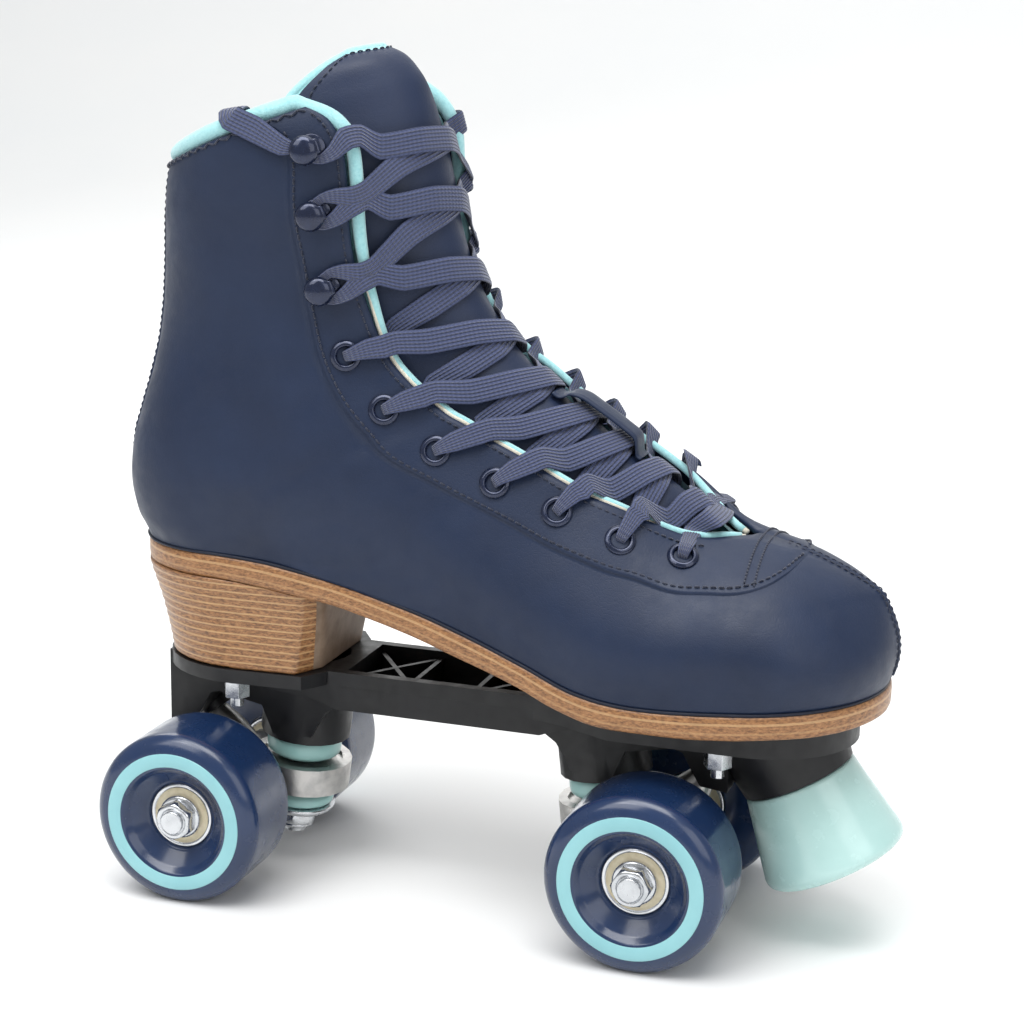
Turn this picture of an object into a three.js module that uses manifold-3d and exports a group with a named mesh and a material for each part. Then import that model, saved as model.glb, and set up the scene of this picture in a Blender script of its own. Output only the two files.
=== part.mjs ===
// Quad roller skate: laced ankle boot on a stacked heel, nylon plate, two steering trucks, four wheels, toe stop.
// Millimetres. +X toward the toe, -Y the right side, +Z up, floor at z = 0. Dimensions below have x = 0 half way between the axles;
// every piece is then moved by SHIFT_X so that the middle of the whole length stands at x = 0.
import * as THREE from 'three';
import { mergeVertices } from 'three/addons/utils/BufferGeometryUtils.js';
import Module from 'manifold-3d';
const wasm = await Module(); wasm.setup();

// ---------- driving dimensions ----------
const WHEEL_R = 29, WHEEL_IN = 22.85, WHEEL_OUT = 55.25, RING_IN = 18.87, RING_OUT = 23.72;
const AXLE_X = 77.72, AXLE_R = 3.9;
const BEARING_R = 11, BEARING_BORE = 4.12, BEARING_W = 7;
const KING_TOP = [54, 0, 46.5], KING_LEAN = 7 * Math.PI / 180, KING_R = 3.9;
const PIVOT = [90.5, 0, 53.5];
const PLATE_TOP = 74.9, FLANGE_REAR = 70.3, FLANGE_FRONT = 67.2, RAIL_LOW = 61.6, RAIL_HALF = 18.3;
const STOP_TOP = [118, 0, 53], STOP_LEAN = 27 * Math.PI / 180, STOP_LEN = 31;
const SHIFT_X = -18.23;                                 // moves the middle of the whole length over x = 0
const UPPER_T = 2.0, LINING_D0 = 3.3, LINING_D1 = 5.8;
const FINISH = {
  leather_navy: [0x363f5a, 0.45, 0], fleece_aqua: [0xa9dfe0, 0.95, 0], lace_navy: [0x3d4670, 0.85, 0], metal_navy: [0x2a3350, 0.3, 0.5],
  sole_wood: [0xb98452, 0.6, 0], heel_breast: [0x8d7a68, 0.7, 0], plate_black: [0x17181b, 0.45, 0], cast_metal: [0xb9b6b2, 0.35, 1],
  zinc_steel: [0xc9ccd0, 0.25, 1], urethane_navy: [0x1f2f52, 0.2, 0], urethane_aqua: [0xa8cdc9, 0.3, 0], board_grey: [0x8f8a80, 0.9, 0],
};

// ---------- smooth tables ----------
function spline(xs, ys) {            // monotone-ish cubic through a table
  const n = xs.length, m = new Array(n).fill(0), d = [];
  for (let i = 0; i < n - 1; i++) d.push((ys[i + 1] - ys[i]) / (xs[i + 1] - xs[i]));
  m[0] = d[0]; m[n - 1] = d[n - 2];
  for (let i = 1; i < n - 1; i++) {
    if (d[i - 1] * d[i] <= 0) m[i] = 0;
    else {
      const h0 = xs[i] - xs[i - 1], h1 = xs[i + 1] - xs[i], w0 = 2 * h1 + h0, w1 = h1 + 2 * h0;
      m[i] = (w0 + w1) / (w0 / d[i - 1] + w1 / d[i]);
    }
  }
  return (x) => {
    if (x <= xs[0]) return ys[0] + m[0] * (x - xs[0]) * 0;
    if (x >= xs[n - 1]) return ys[n - 1];
    let i = 0; while (x > xs[i + 1]) i++;
    const h = xs[i + 1] - xs[i], t = (x - xs[i]) / h, t2 = t * t, t3 = t2 * t;
    return (2 * t3 - 3 * t2 + 1) * ys[i] + (t3 - 2 * t2 + t) * h * m[i] + (-2 * t3 + 3 * t2) * ys[i + 1] + (t3 - t2) * h * m[i + 1];
  };
}
function catmull(tab, k) {           // smooth path through table rows
  const n = tab.length - 1; k = Math.min(Math.max(k, 0), n);
  let i = Math.min(Math.floor(k), n - 1); const t = k - i;
  const p1 = tab[i], p2 = tab[i + 1];
  const p0 = i > 0 ? tab[i - 1] : p1.map((v, j) => 2 * v - p2[j]);
  const p3 = i < n - 1 ? tab[i + 2] : p2.map((v, j) => 2 * v - p1[j]);
  return p1.map((_, j) => 0.5 * (2 * p1[j] + (p2[j] - p0[j]) * t + (2 * p0[j] - 5 * p1[j] + 4 * p2[j] - p3[j]) * t * t + (3 * p1[j] - p0[j] - 3 * p2[j] + p3[j]) * t * t * t));
}
const sstep = (a, b, x) => { const t = Math.min(Math.max((x - a) / (b - a), 0), 1); return t * t * (3 - 2 * t); };
// back seam, heel corner, then the line where the upper meets the sole: x, z
const BASE = [[-97.3, 241.5], [-99, 233], [-100, 222], [-100.3, 210], [-101, 197], [-102.5, 184], [-105.5, 171], [-109.5, 158], [-112.8, 146], [-113.6, 135], [-112, 124],
  [-108.6, 115.2], [-103.5, 114.6], [-95, 114.6], [-80, 114.6], [-58, 113.6], [-34, 109.6], [-10, 103.6], [14, 97], [36, 90.3], [55, 84.5], [74, 82.6], [93, 83.2], [110, 84.4], [124, 85.4], [134.3, 86], [140.5, 86.3], [143.8, 86.4], [144.5, 86.4]];
// near (right) facing edge, throat end, then the top centre line of the toe: x, z, half gap
const TOPR = [[-42.5, 263.5, 27], [-32, 258.5, 26], [-26.5, 250, 27], [-24.8, 238, 27], [-24.3, 226, 27], [-22.8, 212.5, 26], [-20, 201, 25], [-17, 190.5, 24], [-13, 182.5, 24], [-7.5, 176.5, 24], [-2, 172, 24],
  [3, 168.5, 24], [6.5, 166.3, 24], [10.5, 164.6, 24], [17, 161.5, 24], [25, 158, 24], [34, 154, 24], [43, 149.6, 24], [52, 145.4, 23.3], [62, 142, 22], [72, 137.7, 18.5], [83, 133.6, 12], [94.5, 132.9, 3.5], [106, 130.5, 0], [117, 127.6, 0], [128, 123.4, 0], [136, 119.5, 0], [140.3, 117, 0], [142, 115.5, 0]];
const TOPL = [[-24, 270.5, 20], [-15, 262.5, 24], [-10.5, 252, 26], [-8.5, 241, 27], [-7.2, 229, 27], [-5.8, 217, 27], [-3, 209.5, 27], [1.5, 200, 26], [6.5, 191, 25], [12, 184.5, 24], [17.5, 180.5, 23.5],
  [21.5, 178, 23.5], [24, 176.6, 23.3], [27.5, 174.5, 23], [32.5, 171, 22.6], [39, 166.8, 22], [46, 162.4, 22], [53, 158.5, 21.5], [60, 155, 20.5], [68, 150.8, 19], [77, 146, 16], [86, 140, 10.5], [95, 134.2, 3.5], [106, 130.5, 0], [117, 127.6, 0], [128, 123.4, 0], [136, 119.5, 0], [140.3, 117, 0], [142, 115.5, 0]];
const NB = BASE.length - 1;
const soleTop = spline([-110, -95, -80, -58, -34, -10, 14, 36, 55, 74, 93, 110, 124, 134.3, 146], [114.8, 114.6, 114.6, 113.6, 109.6, 103.6, 97, 90.3, 84.5, 82.6, 83.2, 84.4, 85.4, 86, 86.5]);
const soleBot = spline([-110, -75, -35.3, -17, 9.2, 35, 46.9, 61.9, 76.8, 98, 117, 131, 147], [107, 106.6, 102, 97.6, 90, 82.9, 78.7, 75.6, 74.8, 75.6, 77.3, 78, 79]);
const backX = spline([100, 115.2, 124, 135, 146, 158, 171, 184, 197, 210, 222, 233, 241.5, 260], [-108.2, -108.6, -112, -113.6, -112.8, -109.5, -105.5, -102.5, -101, -100.3, -100, -99, -97.3, -95]);
const outR = spline([-75, -50, -25, -5, 15, 35, 50, 64, 82, 102], [31, 31, 29.5, 29.5, 32, 36, 39.5, 42, 42.3, 41]);
const outL = spline([-75, -50, -25, -5, 15, 35, 50, 64, 82, 102], [31, 30.5, 28, 26.5, 28.5, 33, 37, 40, 41.5, 41]);
const legW = spline([114, 125, 140, 160, 180, 195, 215, 235, 250, 270], [31, 34.5, 36.5, 35.3, 33, 32.3, 33, 34.5, 35.5, 36.5]);
const footB = spline([0, 10, 22, 40, 60, 90], [0, 2.6, 3.4, 2, -1.5, -5]);
const round = (t, p = 2) => t >= 1 ? 1 : (t <= 0 ? 0 : Math.sqrt(Math.max(0, 1 - Math.pow(1 - t, p))));
function frontX(z) { const t = Math.min(Math.max((z - 86.4) / (115.5 - 86.4), 0), 1); return 144.5 + (142 - 144.5) * t + 4.2 * Math.sin(Math.PI * Math.pow(t, 0.9)); }
function sole(x, side, z = soleTop(x)) {      // half width of the sole line
  const o = (side < 0 ? outR : outL)(x);
  const xb = backX(z), d = x - xb, e = frontX(Math.max(z, 86.4)) - x;
  return o * round(d / 33) * round(e / 44, 2.25);
}
function width(x, z, side) {
  const o = (side < 0 ? outR : outL)(x), h = Math.max(0, z - soleTop(x));
  const foot = o + footB(h), leg = legW(Math.max(z, 114));
  const w = leg + (foot - leg) * sstep(-45, 15, x);
  return w * round((x - backX(z)) / 33) * round((frontX(z) - x) / 44, 2.25);
}
// point of the upper's outer face. k 0 collar .. NB toe, f 0 base line .. 1 facing edge
function upper(side, k, f) {
  const B = catmull(BASE, k), T = catmull(side < 0 ? TOPR : TOPL, k);
  let g = Math.max(0, T[2]);
  const bow = 4.2 * sstep(23.5, 28, k);
  const L = Math.hypot(T[0] - B[0], T[1] - B[1]);
  let x = B[0] + (T[0] - B[0]) * f, z = B[1] + (T[1] - B[1]) * f;
  x += bow * Math.sin(Math.PI * Math.pow(f, 0.9));
  const W = width(x, z, side), e = (1 - f) * L;
  const toe = sstep(19.5, 23.5, k);
  const E = 34 + (46 - 34) * sstep(5, 13, k) + (33 - 46) * sstep(18, 24, k);
  const S1 = 1 - Math.pow(1 - Math.min(e / E, 1), 2.0), S2 = round(e / E, 2.1);
  const S = S1 + (S2 - S1) * toe;
  let y = W < g ? W : g + (W - g) * S;
  if (W < g) y = W;
  return [x, side * y, z];
}
const fmap = (k, v) => { const a = Math.pow(v, 1.75), b = 0.5 - 0.5 * Math.cos(Math.PI * v); const t = sstep(9, 14, k), u = sstep(18, 23, k); const mid = v; const m1 = a + (mid - a) * t; return m1 + ((0.25 * v + 0.75 * Math.sin(Math.PI / 2 * v)) - m1) * u; };

// ---------- solids ----------
const V = (a, b, s = 1) => [a[0] + b[0] * s, a[1] + b[1] * s, a[2] + b[2] * s];
const unit = (a) => { const l = Math.hypot(...a) || 1; return a.map((v) => v / l); };
const cross = (a, b) => [a[1] * b[2] - a[2] * b[1], a[2] * b[0] - a[0] * b[2], a[0] * b[1] - a[1] * b[0]];
const mix = (a, b, t) => a.map((v, i) => v + (b[i] - v) * t);

function toManifold(geometry) {
  let g = geometry.clone();
  g.deleteAttribute('normal'); g.deleteAttribute('uv');
  g = mergeVertices(g, 1e-4);
  const p = g.attributes.position.array, raw = g.index ? g.index.array : [...Array(p.length / 3).keys()], idx = [];
  for (let i = 0; i < raw.length; i += 3) if (raw[i] !== raw[i + 1] && raw[i + 1] !== raw[i + 2] && raw[i] !== raw[i + 2]) idx.push(raw[i], raw[i + 1], raw[i + 2]);
  let vol = 0;
  for (let i = 0; i < idx.length; i += 3) {
    const [a, b, c] = [idx[i], idx[i + 1], idx[i + 2]].map((j) => [p[3 * j], p[3 * j + 1], p[3 * j + 2]]), n = cross(b, c);
    vol += a[0] * n[0] + a[1] * n[1] + a[2] * n[2];
  }
  if (vol < 0) for (let i = 0; i < idx.length; i += 3) [idx[i], idx[i + 1]] = [idx[i + 1], idx[i]];
  return new wasm.Manifold(new wasm.Mesh({ numProp: 3, vertProperties: new Float32Array(p), triVerts: new Uint32Array(idx) }));
}
function fromGrid(rows, closeRow = true, cap0 = true, cap1 = true) {      // rows of points, each a loop
  const m = rows[0].length, pos = [], idx = [];
  rows.forEach((r) => r.forEach((q) => pos.push(...q)));
  const n = rows.length, mm = closeRow ? m : m - 1;
  for (let i = 0; i < n - 1; i++) for (let j = 0; j < mm; j++) {
    const a = i * m + j, b = i * m + (j + 1) % m, c = a + m, d = b + m;
    idx.push(a, b, d, a, d, c);
  }
  for (const [r, flip, on] of [[0, 1, cap0], [n - 1, 0, cap1]]) {
    if (!on) continue;
    const c = pos.length / 3, ctr = [0, 0, 0]; rows[r].forEach((q) => q.forEach((v, i) => (ctr[i] += v / m)));
    pos.push(...ctr);
    for (let j = 0; j < m; j++) { const a = r * m + j, b = r * m + (j + 1) % m; flip ? idx.push(c, b, a) : idx.push(c, a, b); }
  }
  const g = new THREE.BufferGeometry();
  g.setAttribute('position', new THREE.Float32BufferAttribute(pos, 3)); g.setIndex(idx);
  return g;
}
const lathe = (pts, seg = 32) => new THREE.LatheGeometry(pts.map(([r, h]) => new THREE.Vector2(r, h)), seg);   // about +Y
const axisTo = (g, dir, at) => { g.applyQuaternion(new THREE.Quaternion().setFromUnitVectors(new THREE.Vector3(0, 1, 0), new THREE.Vector3(...unit(dir)))); g.translate(...at); return g; };
const rod = (r, a, b, seg = 20) => { const d = V(b, a, -1), L = Math.hypot(...d); return toManifold(axisTo(lathe([[0, 0], [r, 0], [r, L], [0, L]], seg), d, a)); };
const turned = (pts, dir, at, seg = 28) => toManifold(axisTo(lathe(pts, seg), dir, at));
function plan(points, z0, z1) {                              // outline in plan, from z0 up to z1
  const s = new THREE.Shape(points.map(([x, y]) => new THREE.Vector2(x, y)));
  const g = new THREE.ExtrudeGeometry(s, { depth: z1 - z0, bevelEnabled: false }); g.translate(0, 0, z0); return toManifold(g);
}
function side(points, y0, y1) {                              // outline in side view (x, z), from y0 to y1
  const s = new THREE.Shape(points.map(([x, z]) => new THREE.Vector2(x, z)));
  const g = new THREE.ExtrudeGeometry(s, { depth: y1 - y0, bevelEnabled: false }); g.rotateX(Math.PI / 2); g.translate(0, y1, 0); return toManifold(g);
}
const box = (x0, x1, y0, y1, z0, z1) => { const g = new THREE.BoxGeometry(x1 - x0, y1 - y0, z1 - z0); g.translate((x0 + x1) / 2, (y0 + y1) / 2, (z0 + z1) / 2); return toManifold(g); };
const union = (list) => list.reduce((a, b) => a.add(b));
const largest = (m) => m.decompose().sort((a, b) => b.volume() - a.volume())[0];
const group = new THREE.Group();
function material(slot) {
  const [c, r, m] = FINISH[slot]; return new THREE.MeshStandardMaterial({ color: c, roughness: r, metalness: m });
}
function toGeometry(m) {
  const q = m.getMesh(), g = new THREE.BufferGeometry(), n = q.numProp, src = q.vertProperties, pos = new Float32Array(src.length / n * 3);
  for (let i = 0; i < pos.length / 3; i++) for (let k = 0; k < 3; k++) pos[3 * i + k] = src[n * i + k];
  g.setAttribute('position', new THREE.BufferAttribute(pos, 3)); g.setIndex([...q.triVerts]); g.computeVertexNormals(); return g;
}
function part(name, slot, shape, parent = group) {
  const g = toGeometry(shape).translate(SHIFT_X, 0, 0), mesh = new THREE.Mesh(g, material(slot));
  mesh.name = name; parent.add(mesh); return mesh;
}
// ---------- boot ----------
function normalAt(s, k, f) {
  const k0 = Math.max(0, k - 0.05), k1 = Math.min(NB, k + 0.05), f0 = Math.max(0, f - 0.01), f1 = Math.min(1, f + 0.01);
  const n = unit(cross(V(upper(s, k1, f), upper(s, k0, f), -1), V(upper(s, k, f1), upper(s, k, f0), -1)));
  return s < 0 ? n : n.map((v) => -v);
}
function skin(s, k, f, off = 0) {
  const n = normalAt(s, k, f);
  if (k >= NB - 1e-6 || (f <= 0 && k < 11.2) || (f >= 1 && k >= 22.9)) n[1] = 0;
  return V(upper(s, k, f), unit(n), off);
}
const KS = [0, 1.8, 3.8, 5.6, 6.6, 7.5, 8.4, 9.3, 10.2, 11, 11.6, 12.8, 14.4, 16, 17.8, 19.6, 21.5, 22.5, 23.4, 24.8, 26.4, 28];
const NF = 5;
// closed form bounded by the skin at depth `off`; rise lifts the collar, lid lifts the throat, floor sets the bottom above the sole line
function bootForm(off, { rise = 0, lid = 0, floor = 0, nf = NF } = {}) {
  const rows = KS.map((k) => {
    const loop = [], e = lid * (k <= 22 ? 1 : 0);
    for (const s of [-1, 1]) {
      const half = [];
      for (let j = 0; j <= nf; j++) half.push(skin(s, k, fmap(k, j / nf), -off));
      const B = catmull(BASE, k), T = catmull(s < 0 ? TOPR : TOPL, k), u = unit([T[0] - B[0], 0, T[1] - B[1]]);
      half.push(V(half[nf], u, e || 0.01));
      if (s > 0) half.reverse();
      loop.push(...half);
    }
    loop.forEach((p) => { const z = soleTop(p[0]) + floor; if (k > 10.4 && p[2] < z) p[2] = z; });
    return loop;
  });
  if (rise) rows.unshift(rows[0].map((p) => V(p, unit([-14, 0, 78]), rise)));
  return toManifold(fromGrid(rows, true, true, false));
}
const shellOut = bootForm(0, { floor: 0.4 });
const shellIn = bootForm(UPPER_T, { rise: 20, lid: 10.7, floor: 2.6 });
const padOut = bootForm(LINING_D0, { rise: 1.6, lid: 1.0, floor: 2.9 });
const padIn = bootForm(LINING_D1, { rise: 22, lid: 12, floor: 5.0 });

// eyelets and hooks: station k and place f on the right side, mirrored to the left at the same distance from the edge
const EYES = [[7.36, 0.876], [9.96, 0.887], [13.96, 0.857], [16.02, 0.836], [17.76, 0.852], [19.52, 0.851], [21.08, 0.883]];
const HOOKS = [[1.81, 0.838], [3.47, 0.832], [5.31, 0.841]];
const span = (s, k) => { const B = catmull(BASE, k), T = catmull(s < 0 ? TOPR : TOPL, k); return Math.hypot(T[0] - B[0], T[1] - B[1]); };
const fOf = (s, k, e) => 1 - e / span(s, k);
const place = (s, [k, f]) => { const e = (1 - f) * span(-1, k); return [k, fOf(s, k, e), e]; };
const holes = [];
for (const s of [-1, 1]) for (const q of EYES) { const [k, f] = place(s, q); holes.push([upper(s, k, f), normalAt(s, k, f)]); }
let upperSolid = shellOut.subtract(shellIn), lining = padOut.subtract(padIn);
const BAND_K = [6.6, 7.5, 8.4, 9.3, 10.2, 11, 11.6, 12.8, 14.4, 16, 17.8, 19.6, 21.5];
const band = (s, h0, h1) => toManifold(fromGrid(BAND_K.map((k) => {
  const e = 11.6 - 1.5 * sstep(17, 21, k);
  return [[e + 1.6, h0], [e - 1.6, h0], [e - 1.6, h1], [e + 1.6, h1]].map(([d, h]) => skin(s, k, fOf(s, k, d), h));
})));
for (const s of [-1, 1]) {
  const r = toManifold(fromGrid(BAND_K.map((k, i) => {
    const e = 11.6 - 1.5 * sstep(17, 21, k), kk = k + (i === 0 ? -0.07 : i === BAND_K.length - 1 ? 0.07 : 0);
    return [[e + 2.1, -3.4], [e - 2.1, -3.4], [e - 2.1, -2.2], [e + 2.1, -2.2]].map(([d, h]) => skin(s, kk, fOf(s, kk, d), h));
  })));
  upperSolid = upperSolid.subtract(r);
}
for (const [c, n] of holes) {
  upperSolid = upperSolid.subtract(rod(3.95, V(c, n, -3.2), V(c, n, 3), 7));
}

// along the throat the lining stops short of the eyelets
for (const s of [-1, 1]) {
  const r = toManifold(fromGrid([6.0, 7.5, 8.4, 9.3, 10.2, 11, 11.6, 12.8, 14.4, 16, 17.8, 19.6, 21.5, 22.3].map((k) => {
    const B = catmull(BASE, k), T = catmull(s < 0 ? TOPR : TOPL, k), u = unit([T[0] - B[0], 0, T[1] - B[1]]), q = (d, h) => skin(s, k, fOf(s, k, d), h);
    return [q(18.4, -8.5), q(8, -8.5), V(q(0, -8.5), u, 3), V(q(0, -2.4), u, 3), q(0, -2.4), q(8, -2.4), q(18.4, -2.4)];
  })));
  lining = largest(lining.subtract(r));
}

// eyelets of one side are set in one hidden reinforcing strip, so they are one piece
function eyeStay(s) {
  const strip = band(s, -3.05, -2.55);
  const adds = [], cuts = [];
  for (const q of EYES) {
    const [k, f] = place(s, q), c = upper(s, k, f), n = normalAt(s, k, f), up = s > 0 && q === EYES[1] ? 1.1 : 0;
    adds.push(turned([[0, -3], [3.4, -3], [3.4, 0.95 + up], [4.8, 0.95 + up], [4.2, 1.5 + up / 2], [0, 1.5 + up / 2]], n, c, 7));
    cuts.push(rod(2.85, V(c, n, -5), V(c, n, 3), 7));
  }
  return largest(cuts.reduce((a, b) => a.subtract(b), union([strip, ...adds])));
}
function hook(s, q) {
  const [k, f] = place(s, q), c = upper(s, k, f), n = normalAt(s, k, f);
  const fwd = unit(V(upper(s, k, Math.min(1, f + 0.05)), c, -1)), sideways = unit(cross(n, fwd));
  const sh = V(V(c, fwd, 3.4), n, 0);
  const base = turned([[0, 0.65], [4.4, 0.65], [4.4, 1.2], [0, 1.2]], n, V(c, fwd, 1.5), 7);
  const cap = turned([[0, 3.9], [4.6, 3.9], [4.3, 5.4], [2.6, 6.4], [0, 6.7]], n, V(c, fwd, -0.6), 8);
  const g = new THREE.BoxGeometry(1.6, 3.6, 5); g.applyMatrix4(new THREE.Matrix4().makeBasis(new THREE.Vector3(...fwd), new THREE.Vector3(...sideways), new THREE.Vector3(...unit(cross(fwd, sideways)))));
  g.translate(...V(sh, n, 3.1));
  const post = toManifold(g);
  return union([base, cap, post]);
}

// ---------- tongue: crest line per station, x, z (stations -2 and -1 stand above the collar) ----------
const CREST = [[-27.5, 279], [-20, 275.5], [-14.5, 270], [-11.5, 263.5], [-8.8, 255], [-6.2, 246], [-3.6, 235.5], [-1.2, 223], [2.2, 211.5], [6.5, 202], [11.5, 193.5], [17, 186], [22, 180.5], [25.5, 177], [28.5, 174], [32, 171], [37, 167.6], [43, 163.6], [49.5, 159.4], [56, 155.2], [63, 150.8], [70.5, 146], [78.5, 140.6], [86, 135], [92, 130]];
const TAB_R = catmullSide(-1), TAB_L = catmullSide(1);
function catmullSide(s) {            // where the tongue's edge lies under the facing: x, z, y
  const rows = [];
  for (let k = -2; k <= 22; k++) {
    const kk = Math.max(k, 0), B = BASE[kk], T = (s < 0 ? TOPR : TOPL)[kk], u = unit([B[0] - T[0], 0, B[1] - T[1]]);
    const e = 10 + 2 * sstep(4, 0, k), g = Math.max(T[2], 4) - 4.6 - 1.2 * sstep(10, 20, k);
    let p = [T[0] + u[0] * e, T[1] + u[2] * e - 1.5 * sstep(12, 18, k), Math.max(g, 2)];
    if (k === -1) p = [s < 0 ? -43 : -33, s < 0 ? 269.5 : 274, 17];
    if (k === -2) p = [s < 0 ? -38 : -33, s < 0 ? 276.5 : 277.5, 7];
    rows.push(p);
  }
  return rows;
}
function tongueAt(k, t, depth = 0) {
  const C = catmull(CREST, k + 2), A = catmull(t < 0 ? TAB_R : TAB_L, k + 2), yc = 2, th = Math.abs(t) * 1.22, m = 1.22;
  const a = Math.sin(th) / Math.sin(m), b = (1 - Math.cos(th)) / (1 - Math.cos(m));
  const yEnd = (t < 0 ? -1 : 1) * A[2];
  return [C[0] + (A[0] - C[0]) * b, yc + (yEnd - yc) * a, C[1] + (A[1] - C[1]) * b];
}
function tongueSkin(k, t, off) {
  const d = 0.04, k0 = Math.max(-2, k - d), k1 = Math.min(22, k + d), t0 = Math.max(-1, t - d), t1 = Math.min(1, t + d);
  const n = unit(cross(V(tongueAt(k, t1), tongueAt(k, t0), -1), V(tongueAt(k1, t), tongueAt(k0, t), -1)));
  return V(tongueAt(k, t), n.map((v) => -v), off);
}
function tongueSolid(thick) {
  const rows = [], NT = 6;
  for (const k of [-2, -1.5, -1, -0.3, 0.8, 2.6, 4.6, 6.8, 9, 11, 13.5, 16, 18.4, 20.6]) {
    const loop = [];
    for (let j = 0; j <= NT; j++) loop.push(tongueSkin(k, -1 + 2 * j / NT, 0));
    for (let j = NT; j >= 0; j--) loop.push(tongueSkin(k, -1 + 2 * j / NT, -thick));
    rows.push(loop);
  }
  const raw = toManifold(fromGrid(rows));
  return largest(raw.subtract(bootForm(1.9, { rise: 3.5, lid: 2.2, floor: 0 }).subtract(bootForm(6.2, { rise: 24, lid: 14, floor: 6 }))));
}

// ---------- sole, heel, insole, backstay ----------
const XS = [-108.2, -107.6, -106, -102.5, -97, -88, -74, -55, -32, -8, 14, 32, 48, 64, 82, 100, 114, 126, 135, 141, 144.4];
function soleOutline(grow, xs = XS) {
  const r = [], l = [];
  for (const x of xs) {
    const xx = Math.min(Math.max(x, -108.1), 144.4), yr = Math.max(0, sole(xx, -1)), yl = Math.max(0, sole(xx, 1));
    r.push([x, -(yr + grow * (yr > 0.5 ? 1 : 0))]); l.push([x, yl + grow * (yl > 0.5 ? 1 : 0)]);
  }
  return [r, l];
}
function slab(grow, top, bottom, xs = XS) {
  const [r, l] = soleOutline(grow, xs), rows = [];
  xs.forEach((x, i) => { const X = x + (i === 0 ? -grow : i === xs.length - 1 ? grow : 0), yr = Math.min(r[i][1], -0.4), yl = Math.max(l[i][1], 0.4); rows.push([[X, yr, bottom(x)], [X, yl, bottom(x)], [X, yl, top(x)], [X, yr, top(x)]]); });
  return toManifold(fromGrid(rows));
}
const soleLow = (x) => Math.max(soleBot(x), 75.2);
let outsole = slab(1.0, (x) => soleTop(x), soleLow);
lining = lining.subtract(slab(-8.1, (x) => soleTop(x) + 16, (x) => soleTop(x) + 5.4, XS.filter((x) => x > -100 && x < 138)));
upperSolid = upperSolid.subtract(slab(5, (x) => soleTop(x) + 0.3, (x) => soleTop(x) - 12));
let insole = slab(-9, (x) => soleTop(x) + 8.4, (x) => soleTop(x) + 5.7, XS.filter((x) => x > -99 && x < 136));
const D = (xb, xf, half, corner, n = 9) => {        // D-shaped heel outline: round at the back, cut corners at the front
  const p = []; for (let i = -n; i <= n; i++) { const a = (Math.PI / 2) * i / n; p.push([xb + (half * 1.06) * (1 - Math.cos(a)) , half * Math.sin(a)]); }
  p.push([xf - 5.5, half - 1.5], [xf, corner], [xf, -corner], [xf - 5.5, -(half - 1.5)]); return p;
};
const heelRows = [[75.2, -100.3, -40.6, 28.8, 17], [84, -101.6, -39.4, 29.2, 19], [94, -104, -37.8, 30, 22], [104, -107.4, -36.6, 31, 24], [112, -109.2, -35.8, 31.6, 25]]
  .map(([z, xb, xf, h, c]) => D(xb, xf, h, c).map(([x, y]) => [x, y, z]));
let heel = toManifold(fromGrid(heelRows));
const above = [[-115, 130]]; for (let x = -115; x <= -20; x += 8) above.push([x, soleBot(x) - 0.3]); above.push([-20, 130]);
heel = heel.subtract(side(above, -60, 60));
function backstay() {
  const rows = []; for (let k = 0.25; k <= 10.8; k += 0.96) {
    const w = 0.3, loop = [];
    for (const [q, h] of [[-1, 0.35], [-0.5, 0.35], [0, 0.35], [0.5, 0.35], [1, 0.35], [1, 1.5], [0.5, 1.5], [0, 1.5], [-0.5, 1.5], [-1, 1.5]]) {
      const s = q < 0 ? -1 : 1, B = catmull(BASE, k), r = 6.5 * Math.abs(q), n = [-1, 0, 0];
      let f = 0; for (; f < 0.2; f += 0.001) if (Math.abs(upper(s, k, f)[1]) >= r) break;
      loop.push(q === 0 ? V(upper(s, k, 0), [-1, 0, 0], h + 0.35) : V(upper(s, k, f), normalAt(s, k, Math.max(f, 0.004)), h + 0.3));
    }
    rows.push(loop);
  }
  return toManifold(fromGrid(rows));
}

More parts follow.
